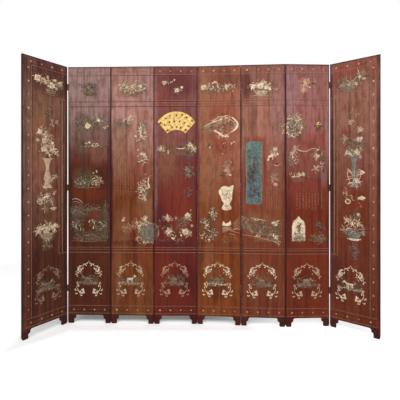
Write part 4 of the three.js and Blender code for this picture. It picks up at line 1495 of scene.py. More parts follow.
def leafTwo():
    pen = drawn(2, "fruit_bowl")
    bowlOfFruit(pen.at(204, 2166), 126, "olive", "khaki", ("olive", "khaki", "sage"))
    spray(pen, [(160, 2216), (128, 2262), (96, 2280)], 6, 26, 10, "slate", "umber", 3)
    foliage(pen.at(222, 2250), 14, 50, ("olive", "khaki", "sage"), 5, 28, 11)
    stand(pen.at(204, 2148), 76, 22, "olive", "khaki")
    scatter(2, "scattered_flowers", (
        ("fruit", 95, 2242, 20, "slate"), ("flower", 293, 1934, 17, "ivory"),
        ("peony", 188, 1880, 30, "ivory"), ("sprig", 366, 1852, 36, "cream"),
        ("leaves", 250, 1926, 26, "slate"),
        ("leaves", 120, 1876, 40, "sage"), ("leaves", 226, 1910, 30, "khaki"),
        ("leaves", 318, 1900, 32, "sage"), ("bud", 262, 1984, 20, "blush"),
        ("sprig", 190, 1704, 34, "cream"), ("flower", 206, 1716, 10, "ivory"),
        ("flower", 236, 1690, 11, "ivory"), ("sprig", 366, 1690, 20, "khaki"),
        ("leaves", 300, 1662, 24, "sage")))
    pen = drawn(2, "garden_rock")
    pineTree(pen.at(150, 1330), 150, -20, "pine", "umber", 3, 6)
    foliage(pen.at(130, 1340), 26, 62, ("pine", "slate", "moss"), 8, 30, 11, 0.6)
    blossoms(pen.at(120, 1336), 9, 56, 7, ("cream", "khaki"), 21, 0.5)
    tuft(pen.at(196, 1302), 7, 60, 24, "sage", 5, 3.4)
    pen = drawn(2, "garden_flowers")
    twig(pen, [(240, 1300), (262, 1350), (250, 1404), (290, 1430)], 4, "umber", 7, 7, "cream", 8, 30)
    flower(pen.at(272, 1322), 16, "blush", "coral")
    blossoms(pen.at(276, 1366), 12, 50, 6, ("cream", "blush", "ivory"), 12)
    foliage(pen.at(288, 1330), 12, 42, ("sage", "slate"), 4, 28, 10)
    pen.curve([(60, 1296), (180, 1288), (330, 1298)], 5, 3.6, "khaki", 1.0, 0.2)
    pen = drawn(2, "landscape")
    for path, tint in (([(36, 1176), (70, 1186), (110, 1172), (150, 1136)], "cream"),
                       ([(36, 1150), (84, 1158), (130, 1130)], "khaki"),
                       ([(36, 1122), (70, 1140), (120, 1128), (160, 1094)], "dullLine"),
                       ([(60, 1092), (110, 1104), (170, 1066)], "slate"),
                       ([(36, 1050), (90, 1074), (150, 1040), (200, 1030)], "sage"),
                       ([(180, 1080), (240, 1092), (320, 1084)], "slate")):
        pen.curve(path, 4, 6, tint, 1.1, 0.2)
    thicket(pen, ((250, 1076, 80, 20), (90, 1040, 60, 24)), ("slate", "teal", "sage"), 23, 1.0)
    thicket(pen, ((366, 1100, 18, 60), (368, 990, 16, 90), (366, 860, 18, 70)), ("olive", "sage", "moss"), 24,
            1.3)
    for index, (u, z) in enumerate(((52, 950), (112, 968), (178, 986), (236, 970), (300, 936))):
        pineTree(pen.at(u, z, size=0.9), 66, 12 - index * 5, "pine" if index % 2 else "slate", "umber", index,
                 4)
    for u, z, robe in ((121, 880, "cream"), (146, 878, "blush"), (243, 900, "ivory"), (268, 896, "sage")):
        robedFigure(pen.at(u, z), 34, robe)
    thicket(pen, ((66, 930, 40, 50), (120, 960, 40, 30), (60, 1080, 40, 40)), ("slate", "dullLine", "pewter"),
            57, 1.0)
    thicket(pen, ((320, 870, 50, 60), (200, 800, 150, 20), (250, 950, 40, 24)), ("olive", "dullLine", "moss"),
            59, 1.0)
    blossoms(pen.at(250, 960), 10, 60, 6, ("ivory", "cream"), 61, 0.5)
    boat(pen.at(190, 836), 70, "khaki", "umber")
    pen.waves(5, ((44, 800, 22, 9), (140, 806, 16, 9), (250, 798, 12, 10)), 2.2, "slate", 0.8)
    pen.curve([(36, 786), (190, 778), (372, 790)], 5, 4, "khaki", 1.0, 0.3)


def leafThree():
    flowerBasket(3, "flower_basket", 208, 2160, 128, 46, (
        (121, 2264, 18, "cream"), (283, 2250, 19, "cream"), (200, 2246, 17, "blush"),
        (160, 2226, 15, "khaki"),
        (246, 2222, 16, "khaki"), (318, 2224, 12, "khaki"), (92, 2238, 12, "cream")), "thatch", "khaki")
    pen = drawn(3, "magnolia_branch")
    twig(pen, [(84, 1884), (130, 1920), (190, 1944), (220, 1950)], 4, "umber", 5, 9, "cream", 5, 20)
    for path in ([(120, 1930), (150, 1944), (196, 1930)], [(170, 1926), (186, 1966), (190, 1990)],
                 [(122, 1944), (136, 1962)]):
        pen.curve(path, 4, 14, "cream", 1.4, (0.3, 0.6))
    foliage(pen.at(120, 1926), 12, 46, ("sage", "khaki"), 7, 26, 9)
    scatter(3, "plum_sprigs", (
        ("twigUp", 296, 1818, 46, "ivory"), ("sprig", 282, 1728, 34, "cream"),
        ("flower", 318, 1598, 14, "ivory"),
        ("flower", 310, 1546, 12, "blush"), ("leaves", 330, 1660, 24, "sage"),
        ("bud", 262, 1660, 20, "cream"), ("flower", 236, 1780, 11, "ivory")))
    quietColumns(3, 44, 190, 1190, 1550, 7, "line", 3)
    pen = drawn(3, "river_bank")
    pen.curve([(364, 1392), (356, 1340), (366, 1292), (330, 1280)], 5, 9, "ivory", 1.6, (0.6, 0.4))
    burst(pen, ((280, 1290, 50), (330, 1230, 40)), ("khaki", "sage"), 6, 12)
    foliage(pen.at(340, 1392), 8, 30, ("sage", "khaki"), 15, 26, 9)
    boat(pen.at(299, 1188), 104, "cream", "umber")
    robedFigure(pen.at(306, 1206), 40, "blush")
    pen.waves(3, ((240, 1178, 0, -10), (300, 1172, 0, -10), (372, 1178, 0, -11)), 2.2, "khaki", 0.8)
    pen = drawn(3, "lower_flowers")
    blossoms(pen.at(150, 908), 9, 60, 9, ("coral", "blush"), 8, 0.6)
    spray(pen, [(250, 800), (290, 900), (326, 1004)], 9, 34, 11, "moss", "umber", 4)
    peony(pen.at(325, 1006, lift=0.5), 21, "cream", "blush")
    blossoms(pen.at(118, 986), 5, 34, 11, ("ivory", "blush"), 3)
    ribbon(pen, [(238, 890), (262, 868), (252, 838), (284, 820), (292, 792)], 9, "coral", 1.5)
    pen = drawn(3, "round_fan_half")
    halfFan = arc(362, 870, 97, 60, 300, 21)
    pen.cell(halfFan, "slate", 1.2, 0, 1.6)
    rimmed = pen.raised(0.8)
    rimmed.band(halfFan[2:12], 7, "cream", 1.2, (0.3, 0.2))
    for reach, first, last in ((72, 90, 220), (84, 70, 150), (60, 200, 290), (46, 60, 170), (30, 100, 250)):
        rimmed.band(arc(372, 870, reach, first, last, 15), 4.5, "cream", 1.0, 0.3)
    thicket(rimmed, ((346, 868, 60, 74), (392, 868, 14, 70)), ("slate", "khaki", "teal", "sage"), 31, 1.3)
    thicket(rimmed, ((276, 916, 22, 44), (320, 950, 50, 20), (270, 960, 40, 22)), ("ivory", "cream", "khaki"),
            33, 0.9)
    thicket(rimmed, ((270, 812, 26, 28),), ("coral", "blush", "cream"), 35, 1.6)
    thicket(rimmed, ((330, 774, 80, 10),), ("ivory", "blush"), 37, 1.2)
    daisy(rimmed.at(321, 984), 22, "blush", "ivory", 9)
    burst(rimmed, ((321, 984, 46),), ("ivory", "khaki"), 9, 12)


def bowed(left, right, sag, count):  # points on an arc from left to right that rises by the sag in its middle
    half = (right[0] - left[0]) / 2
    radius = (half * half + sag * sag) / (2 * sag)
    spread = math.degrees(math.asin(half / radius))
    return arc(left[0] + half, left[1] + sag - radius, radius, 90 + spread, 90 - spread, count)


def leafFour():
    scatter(4, "top_flowers", (
        ("peony", 96, 2284, 20, "cream"), ("peony", 216, 2210, 21, "ivory"),
        ("flower", 262, 2240, 13, "ivory"), ("leaves", 240, 2210, 26, "sage"),
        ("sprig", 140, 2270, 40, "cream")))
    pen = drawn(4, "yellow_fan")
    outer = bowed((36, 1911), (390, 1911), 99, 25)
    inner = bowed((127, 1806), (299, 1806), 33, 25)
    for index in range(len(outer) - 1):
        corners = [outer[index], outer[index + 1], inner[index + 1], inner[index]]
        pen.cell(corners, "fan", 1.6 if index % 2 else 1.1, 0, 0.35)
    rim = pen.raised(0.9)
    for path in (outer, inner, [outer[0], inner[0]], [outer[-1], inner[-1]]):
        rim.band(path, 3.2, "fanEdge", 1.1, 1)
    pen = drawn(4, "fan_painting")
    top = pen.raised(1.6)
    dice = random.Random(14)
    for row, (share, count) in enumerate(((0.84, 7), (0.50, 6), (0.17, 5))):
        for index in range(count):
            spot = (index + 0.5 + (0.2 if row % 2 else 0)) / count * (len(outer) - 1)
            here = int(spot)
            u = inner[here][0] + (outer[here][0] - inner[here][0]) * share
            z = inner[here][1] + (outer[here][1] - inner[here][1]) * share
            lean = dice.uniform(200, 340)
            for step in range(4):
                blade(top.at(u + dice.uniform(-3, 3), z + dice.uniform(-3, 5)), lean + step * 34,
                      dice.uniform(14, 22), 7, "fanInk", None)
            top.band([(u - 9, z + 10), (u + 8, z + 2)], 3.2, "fanInk", 1.0)
    pen = drawn(4, "lake_scene")
    for u, z, robe in ((66, 1644, "ivory"), (88, 1640, "blush"), (134, 1610, "cream")):
        robedFigure(pen.at(u, z), 44, robe, "coral")
    boat(pen.at(254, 1660), 96, "ivory", "umber")
    pineTree(pen.at(356, 1620), 110, 16, "sage", "umber", 7, 5)
    burst(pen, ((350, 1690, 44), (372, 1650, 40), (60, 1650, 34)), ("ivory", "cream", "khaki"), 8, 12)
    pen.waves(3, ((190, 1634, 0, -12), (250, 1628, 0, -12), (320, 1636, 0, -12)), 2.2, "khaki", 0.8)
    burst(pen, ((330, 1590, 40),), ("slate", "plum"), 5, 10)
    quietColumns(4, 60, 240, 1200, 1480, 7, "dullLine", 4)
    pen = drawn(4, "grey_jar")
    jar(pen.at(320, 1400), 56, 84, "slate", "cream")
    twig(pen, [(320, 1480), (332, 1500), (312, 1520)], 3, "umber", 4, 6, "slate", 2, 14)
    dish(pen.at(320, 1206), 58, 22, "dullLine", "umber")
    foliage(pen.at(320, 1246), 6, 22, ("sage", "moss"), 5, 22, 8)
    scatter(4, "lower_flowers", (
        ("peony", 320, 1026, 25, "ivory"), ("peony", 126, 1008, 24, "cream"),
        ("peony", 300, 872, 34, "cream"), ("peony", 140, 880, 25, "ivory"),
        ("leaves", 214, 950, 60, "sage"), ("leaves", 246, 840, 44, "moss"), ("leaves", 90, 944, 40, "khaki"),
        ("flower", 208, 1004, 14, "blush"),
        ("flower", 360, 930, 15, "blush"), ("sprig", 200, 800, 40, "ivory"), ("bud", 352, 1070, 22, "blush"),
        ("leaves", 352, 984, 36, "moss")))
    pen = drawn(4, "round_fan_half")
    halfFan = arc(-51, 870, 97, -56, 56, 13)
    pen.cell(halfFan, "plum", 1.2, 0, 1.6)
    pen.raised(0.8).band(halfFan[1:], 4, "cream", 1.2, 0.3)
    thicket(pen.raised(0.8), ((22, 868, 20, 66),), ("slate", "khaki", "plum", "umber"), 39, 1.4)


def leafFive():
    pen = drawn(5, "row_of_antiques")
    vessel(pen.at(60, 2212), [(14, 0), (22, 8), (26, 26), (22, 44), (14, 50)], "cream", "khaki",
           [(24, 24, 3)])
    stand(pen.at(60, 2192), 48, 18, "olive", "khaki")
    jar(pen.at(128, 2192), 50, 62, "thatch", "khaki")
    jar(pen.at(196, 2190), 54, 60, "thatch", "khaki")
    stand(pen.at(168, 2172), 130, 20, "olive", "khaki")
    blossoms(pen.at(162, 2282), 6, 22, 9, ("ivory", "blush"), 4, 0.8)
    pen.bead(276, 2242, 19, "cream", 1.8)
    stand(pen.at(272, 2196), 50, 22, "olive", "khaki")
    ring(pen.at(338, 2240), 13, 5, "blush", "khaki")
    pen.bead(338, 2198, 8, "blush", 1.6)
    thicket(pen, ((128, 2224, 26, 30), (196, 2224, 28, 30), (240, 2230, 20, 24)),
            ("sage", "khaki", "olive", "cream"), 19, 1.1)
    pen = drawn(5, "great_shell")
    swirl = smooth([(68, 1856), (112, 1870), (150, 1916), (196, 1952), (236, 1960), (290, 1944), (336, 1912),
                    (354, 1874)], 5)
    pen.band(swirl, 8, "cream", 1.9, (0.2, 0.4))
    for path, thick in (([(60, 1862), (130, 1902), (210, 1926), (252, 1962), (300, 1966)], 9),
                        ([(120, 1872), (200, 1892), (262, 1902)], 5),
                        ([(322, 1956), (366, 1920), (382, 1880), (356, 1838), (322, 1812)], 17),
                        ([(340, 1930), (352, 1884), (336, 1850)], 8),
                        ([(160, 1836), (206, 1806), (250, 1778), (300, 1772)], 15),
                        ([(140, 1846), (226, 1836), (300, 1812)], 7),
                        ([(86, 1836), (60, 1856), (40, 1850)], 8)):
        pen.curve(path, 4, thick, "ivory" if thick > 8 else "khaki", 1.6, 0.3)
    lower = smooth([(348, 1868), (316, 1812), (262, 1786), (206, 1794), (164, 1822), (118, 1830), (80, 1848)],
                   5)
    pen.band(lower, 5, "cream", 1.8, 0.3)
    for index in range(9):
        angle = math.radians(30 + index * 19)
        start = (232 + 34 * math.cos(angle), 1868 + 26 * math.sin(angle))
        pen.curve([start, (232 + 66 * math.cos(angle + 0.15), 1868 + 50 * math.sin(angle + 0.15)),
                         (232 + 92 * math.cos(angle + 0.2), 1868 + 74 * math.sin(angle + 0.2))], 3, 5,
                         "cream" if index % 2 else "khaki", 1.3, 0.4)
    foliage(pen.at(196, 1868), 16, 70, ("sage", "khaki", "moss"), 12, 30, 10, 0.6)
    blossoms(pen.at(240, 1846), 4, 34, 9, ("khaki", "blush"), 5)
    scatter(5, "middle_flowers", (
        ("peony", 122, 1670, 14, "cream"), ("peony", 282, 1456, 21, "blush"),
        ("leaves", 250, 1424, 32, "moss"),
         ("flower", 312, 1412, 12, "ivory"), ("sprig", 330, 1700, 26, "ivory")))
    quietColumns(5, 60, 190, 1200, 1560, 6, "line", 5)
    pen = drawn(5, "great_cup")
    cup = [(205, 1262), (232, 1298), (268, 1306), (300, 1298), (338, 1316), (342, 1288), (332, 1240),
           (328, 1180), (312, 1150),
           (302, 1128), (322, 1112), (318, 1086), (262, 1078), (232, 1096), (242, 1124), (252, 1146),
           (232, 1170), (220, 1210), (205, 1236)]
    pen.cell(smooth(cup, 2, True), "ivory", 1.9, 0.5, 2.4)
    thicket(pen.raised(1.4), ((276, 1236, 46, 50), (280, 1110, 34, 20)), ("cream", "ochre", "ivory", "khaki"),
            5, 1.0)
    pen = drawn(5, "orchids")
    for u, z, tall, seed in ((147, 980, 110, 3), (80, 910, 96, 5), (150, 800, 96, 7)):
        tuft(pen.at(u, z), 9, tall, 44, "sage", seed, 4)
    for u, z, radius, tint in ((147, 1064, 13, "ivory"), (73, 968, 14, "ivory"), (154, 868, 14, "cream"),
                               (50, 838, 14, "blush"), (108, 800, 12, "ivory"), (166, 1030, 9, "cream"),
                               (100, 900, 13, "blush")):
        flower(pen.at(u, z, lift=0.7), radius * 0.7, tint, "ochre", 6, 0.62, u)
        blossoms(pen.at(u, z, lift=0.7), 9, 34, 5, ("ivory", "cream"), int(u), 1.2)
    pen = drawn(5, "terrace")
    eaves = [(236, 934), (244, 980), (268, 952), (294, 962), (314, 984), (322, 946), (300, 930)]
    pen.cell(eaves, "ivory", 1.4, 0.0, 1.4)
    pen.cell([(238, 868), (240, 922), (300, 928), (332, 910), (300, 892)], "khaki", 0.8, 0.0, 1.4)
    roofLines(pen, (404, 1016), (338, 958), (404, 900), (352, 912), 9, "cream")
    for path, tint in (([(240, 905), (300, 900), (340, 880), (400, 866)], "blush"),
                       ([(300, 858), (330, 854), (368, 846)], "apricot"),
                       ([(330, 890), (366, 906), (404, 900)], "cream")):
        pen.curve(path, 4, 6, tint, 1.3, 0.3)
    thicket(pen, ((270, 800, 30, 50), (340, 800, 50, 40)), ("olive", "khaki"), 51, 0.35)
    stand(pen.at(262, 742), 40, 34, "dullLine", "line")


def leafSix():
    flowerBasket(6, "flower_basket", 186, 2158, 124, 40, (
        (182, 2240, 30, "ivory"), (112, 2236, 28, "ivory"), (240, 2232, 26, "ivory"),
        (150, 2262, 16, "blush"), (214, 2270, 15, "cream"), (92, 2250, 12, "blush"),
        (268, 2208, 12, "ivory")), "cream", "khaki")
    pen = drawn(6, "jade_ring")
    ring(pen.at(329, 2270), 24, 5, "olive", "khaki")
    pen.bead(329, 2208, 12, "blush", 1.8)
    pen = drawn(6, "teal_plaque")
    outline = []
    for u, z, start in ((178, 1156, -90), (178, 1704, 0), (66, 1704, 90), (66, 1156, 180)):
        outline += arc(u, z, 18, start, start + 90, 5)
    pen.cell(outline, "teal", 1.3, 0, 2.0)
    rim = pen.raised(0.8)
    rim.loop([(122 + (u - 122) * 0.97, 1430 + (z - 1430) * 0.99) for u, z in outline], 3.4, "sea", 0.9)
    rim.loop([(122 + (u - 122) * 0.84, 1430 + (z - 1430) * 0.95) for u, z in outline], 2.0, "slate", 0.7)
    rim.cell([(60, 1150), (184, 1150), (184, 1240)] + smooth([(184, 1240), (150, 1256), (110, 1232),
            (60, 1248)], 3), "sea", 0.5, 0, 1.2)
    thicket(rim, ((122, 1640, 54, 50), (122, 1200, 52, 40), (122, 1420, 60, 240)), ("sea", "teal", "slate"),
            41, 0.9)
    rule(rim, (206, 1140), (206, 1690), "coral", 3.2)
    pen = drawn(6, "plaque_painting")
    top = pen.raised(1.4)
    trunk = [(92, 1270), (118, 1330), (98, 1400), (132, 1470), (116, 1540), (150, 1600)]
    twig(top, trunk, 7, "plum", 9, 9, "slate", 12, 40)
    top.cell([(62, 1560), (152, 1560), (152, 1652), (62, 1652)], "marine", 0.6, 0.0, 1.2)
    top.cell([(62, 1160), (152, 1160), (158, 1380), (128, 1440), (110, 1360), (62, 1330)], "azure", 0.4, 0.0,
             1.2)
    thicket(top.raised(0.6), ((96, 1400, 34, 90), (110, 1250, 44, 60)), ("plum", "pine", "mulberry"), 19, 1.3)
    thicket(top, ((122, 1500, 44, 50), (122, 1420, 44, 90)), ("plum", "pine", "slate"), 17, 0.8)
    thicket(top, ((148, 1290, 36, 60), (126, 1190, 50, 28), (160, 1400, 22, 40)),
            ("azure", "sea", "azure", "pine"), 18, 1.3)
    rock(top.at(140, 1262), 78, 60, "slate", "sea", 4)
    for row in range(4):
        top.curve([(66, 1176 + row * 18), (110, 1184 + row * 18), (178, 1174 + row * 18)], 4, 2.6,
                  "sea" if row % 2 else "pine", 0.9, 0.2)
    crane(top.at(128, 1204, size=0.42), "cream", "slate")
    pen = drawn(6, "small_things")
    pen.at(318, 1634).cell([(-20, 0), (20, 0), (20, 30), (-20, 30)], "cream", 1.6, 0, 2)
    pen.at(318, 1664).cell([(-24, 0), (24, 0), (16, 12), (-16, 12)], "khaki", 1.9, 0, 1)
    twig(pen, [(262, 1530), (286, 1572), (322, 1590)], 4, "umber", 6, 10, "ivory", 3, 20)
    boat(pen.at(334, 1498), 66, "cream", "umber")
    jar(pen.at(320, 1306), 38, 34, "cream", "khaki")
    foliage(pen.at(300, 1430), 8, 30, ("sage", "khaki"), 3, 24, 8)
    cloud(pen.at(310, 1420), 64, "khaki", 3.2)
    quietColumns(6, 240, 350, 1080, 1300, 6, "line", 6)
    pen = drawn(6, "court_scene")
    pen.cell([(2, 1030), (44, 1014), (100, 936), (118, 862), (66, 870), (6, 918)], "dullLine", 0.5, 0.0, 1.4)
    roofLines(pen, (4, 1026), (4, 926), (110, 942), (110, 862), 12, "khaki")
    roofLines(pen, (4, 1030), (100, 866), (50, 1014), (118, 870), 5, "cream")
    pen.cell([(118, 968), (120, 880), (234, 862), (236, 978), (180, 992)], "dullLine", 0.5, 0.0, 1.4)
    roofLines(pen, (122, 970), (122, 876), (230, 976), (230, 862), 11, "khaki")
    pen.cell([(240, 950), (240, 812), (352, 786), (350, 920)], "dullLine", 0.5, 0.0, 1.4)
    roofLines(pen, (244, 944), (244, 812), (346, 918), (346, 790), 9, "khaki")
    for path, tint in (([(10, 852), (90, 842), (190, 822), (300, 792), (356, 774)], "blush"),
                       ([(120, 976), (180, 996), (236, 978)], "cream"),
                       ([(120, 876), (180, 862), (236, 856)], "khaki")):
        pen.curve(path, 4, 6, tint, 1.2, 0.3)
    thicket(pen, ((123, 998, 20, 14), (157, 846, 24, 16), (322, 956, 22, 22), (340, 780, 30, 10)),
            ("ivory", "blush"), 61, 1.5)
    for u, z, robe in ((130, 876, "sage"), (176, 868, "cream"), (268, 846, "blush"), (300, 836, "ivory")):
        robedFigure(pen.at(u, z), 38, robe)
    thicket(pen, ((60, 950, 50, 60), (178, 926, 56, 50), (296, 868, 52, 66)),
            ("khaki", "cream", "olive", "thatch"), 63, 0.5)
    pen.waves(3, ((110, 812, 0, -12), (200, 820, 0, -12), (290, 806, 0, -12)), 3, "khaki", 0.9)
    pen = drawn(6, "potted_tree")
    jar(pen.at(318, 938), 40, 40, "cream", "khaki")
    burst(pen, ((320, 975, 44),), ("ivory", "cream", "khaki"), 6, 16)
    peony(pen.at(326, 828, lift=0.6), 24, "cream", "ivory")
    foliage(pen.at(330, 830), 12, 44, ("sage", "khaki", "slate"), 3, 30, 11)


def garland(leaf, centre, middle, radius, first, last):
    pen = drawn(leaf, "garland")
    ringPath = arc(centre, middle, radius, first, last, 21)
    for index, (u, z) in enumerate(ringPath[1:-1]):
        blade(pen.at(u, z), math.degrees(math.atan2(z - middle, u - centre)) + (60 if index % 2 else 110), 26,
              10, "slate" if index % 3 else "sage", None)
    bent = [(u + 7 * math.sin(step * 1.9), z + 9 * math.cos(step * 2.3)) for step,
            (u, z) in enumerate(ringPath)]
    for here, there in ((0, 5), (8, 12), (14, 20)):
        pen.raised(0.7).curve(bent[here:there], 3, 8, "cream", 1.4, 0.4)
    thicket(pen, [(u, z, 15, 15) for u, z in ringPath[::2]], ("ivory", "cream", "khaki", "sage"), 71, 1.2)
    pen.raised(0.5).band(arc(centre, middle, radius * 0.7, first, last, 17), 4, "sage", 1.0, 1)
    return pen


def leafSeven():
    scatter(7, "top_flowers", (
        ("peony", 182, 2256, 20, "apricot"), ("flower", 186, 2206, 14, "blush"),
        ("flower", 226, 2226, 10, "cream")))
    pen = garland(7, 66, 1860, 84, -170, 150)
    thicket(pen, ((66, 1862, 70, 74),), ("sage", "slate", "khaki", "cream", "ivory"), 73, 1.3)
    flower(pen.at(108, 1838, lift=1.2), 13, "coral", "ochre", 6)
    foliage(pen.at(74, 1864, lift=0.6), 12, 52, ("slate", "sage", "khaki"), 9, 26, 9, 1.0)
    blossoms(pen.at(110, 1930), 4, 26, 12, ("ivory", "cream"), 2)
    scatter(7, "garden_flowers", (
        ("daisy", 300, 1888, 15, "gold"), ("leaves", 306, 1876, 30, "umber"),
        ("leaves", 290, 1850, 30, "dullLine"),
        ("daisy", 304, 1588, 17, "ivory"), ("sprig", 290, 1468, 30, "cream"),
        ("peony", 162, 1420, 18, "cream"), ("leaves", 180, 1400, 30, "sage")))
    pen = drawn(7, "crane_and_pine")
    for path, thick, tint in (
            ([(34, 1536), (46, 1600), (74, 1650), (112, 1676)], 20, "khaki"),
            ([(60, 1560), (66, 1610), (96, 1650)], 9, "cream"),
            ([(104, 1672), (122, 1640), (190, 1630), (236, 1652), (304, 1660)], 7, "cream"),
            ([(112, 1676), (132, 1690)], 12, "khaki"),
            ([(40, 1536), (30, 1500)], 12, "sage"), ([(52, 1536), (60, 1500)], 9, "khaki")):
        pen.curve(path, 4, thick, tint, 1.5, (0.7, 0.3))
    crane(pen.at(296, 1640, 24, 0.5), "cream", "slate")
    burst(pen, ((60, 1510, 44), (36, 1560, 30)), ("sage", "khaki", "slate"), 5, 12)
    boat(pen.at(92, 1392), 80, "ivory", "umber")
    pineTree(pen.at(362, 1430), 128, -18, "sage", "umber", 9, 6)
    pen.waves(3, ((40, 1380, 0, -12), (110, 1374, 0, -12), (190, 1382, 0, -12)), 2.4, "khaki", 0.9)
    quietColumns(7, 104, 336, 1080, 1240, 9, "khaki", 7)
    pen = drawn(7, "arched_niche")
    arch = [(58, 802), (180, 802), (180, 932)] + smooth([(180, 932), (168, 976), (140, 1000), (119, 1026),
            (98, 1000), (70, 976), (58, 932)], 4)[1:]
    pen.cell(arch, "ivory", 0.9, 0, 1.6)
    edge = pen.raised(0.6)
    edge.loop(arch, 5, "cream", 1.5)
    for path in ([(119, 966), (124, 930), (112, 900)], [(136, 950), (128, 930), (140, 906)],
                 [(104, 944), (116, 920), (108, 880)], [(130, 900), (128, 850)]):
        edge.curve(path, 3, 9, "thatch", 1.8, (0.6, 0.4))
    thicket(edge, ((122, 940, 22, 30), (124, 900, 14, 24)), ("olive", "khaki", "thatch"), 43, 1.4)
    thicket(edge, ((119, 814, 60, 20), (119, 814, 60, 20), (119, 850, 50, 30)), ("sage", "khaki", "slate"),
            45, 1.5)
    for u in (98, 142):
        edge.curve([(u, 826), (u + 4, 860), (u - 2, 896)], 3, 9, "ivory", 1.8, (0.6, 0.3))
    pen.band([(56, 796), (184, 796)], 6, "sage", 1.6, 1)
    pen = drawn(7, "rockery")
    burst(pen, ((304, 950, 40), (320, 930, 26)), ("slate", "pine", "teal"), 7, 12)
    thicket(pen, ((300, 830, 56, 40), (340, 800, 40, 20)), ("olive", "khaki", "blush", "moss"), 47, 1.0)
    pen.waves(2, ((206, 818, 0, -14), (290, 808, 0, -14), (376, 820, 0, -14)), 3, "khaki", 0.9)


def leafEight():
    flowerBasket(8, "flower_basket", 168, 2166, 104, 46, (
        (181, 2236, 20, "khaki"), (252, 2276, 16, "cream"), (120, 2230, 15, "khaki"),
        (222, 2222, 15, "cream"), (88, 2216, 12, "khaki"), (290, 2256, 12, "cream")), "slate", "khaki")
    pen = drawn(8, "bird_branch")
    burst(pen, ((200, 1975, 40), (232, 1950, 26)), ("slate", "blush", "khaki"), 7, 8)
    vaseWithFlowers(8, 205, 1300, 288, "pewter", "slate", 50, 20, 44, (
        (170, 1880, 22, "blush"), (258, 1812, 20, "cream"), (132, 1744, 21, "khaki"),
        (248, 1726, 27, "ivory"),
        (150, 1612, 21, "cream"), (196, 1620, 18, "khaki"), (240, 1606, 17, "cream")))
    pen = drawn(8, "scholar_things")
    coralBranch(pen.at(136, 1240), 62, "blush")
    ring(pen.at(154, 1170), 20, 7, "ivory", "cream")
    lozenge(pen.at(267, 1206), 33, "ivory", "coral")
    sprigCurve = spray(pen, [(186, 1004), (208, 1036), (238, 1060)], 7, 26, 9, "sage", "umber", 3)
    flower(pen.at(*sprigCurve[-1], lift=0.6), 14, "ivory", "ochre")
    peony(pen.at(272, 1430, lift=0.6), 19, "ivory")
    pen = drawn(8, "flower_pot")
    for index, u in enumerate((120, 160, 206, 250, 288)):
        height = 900 + (index * 23 % 44)
        spray(pen, [(206 + (u - 206) * 0.3, 884), (u, height)], 4, 30, 9, "slate", "khaki", 3)
    burst(pen, ((150, 1000, 44), (186, 990, 52), (236, 985, 44)), ("ivory", "cream"), 5, 12)
    burst(pen, ((130, 910, 50), (206, 915, 60), (276, 920, 50)), ("pewter", "slate", "khaki", "cream"), 6, 18)
    vessel(pen.at(206, 842, lift=0.5), [(30, 0), (40, 8), (50, 30), (54, 46)], "pewter", "slate",
           [(40, 48, 4), (12, 38, 3)])
    dish(pen.at(206, 822), 112, 20, "ivory", "khaki")
    thicket(pen, ((208, 750, 34, 50), (208, 690, 26, 30)), ("slate", "pewter", "dullLine"), 49, 1.7)


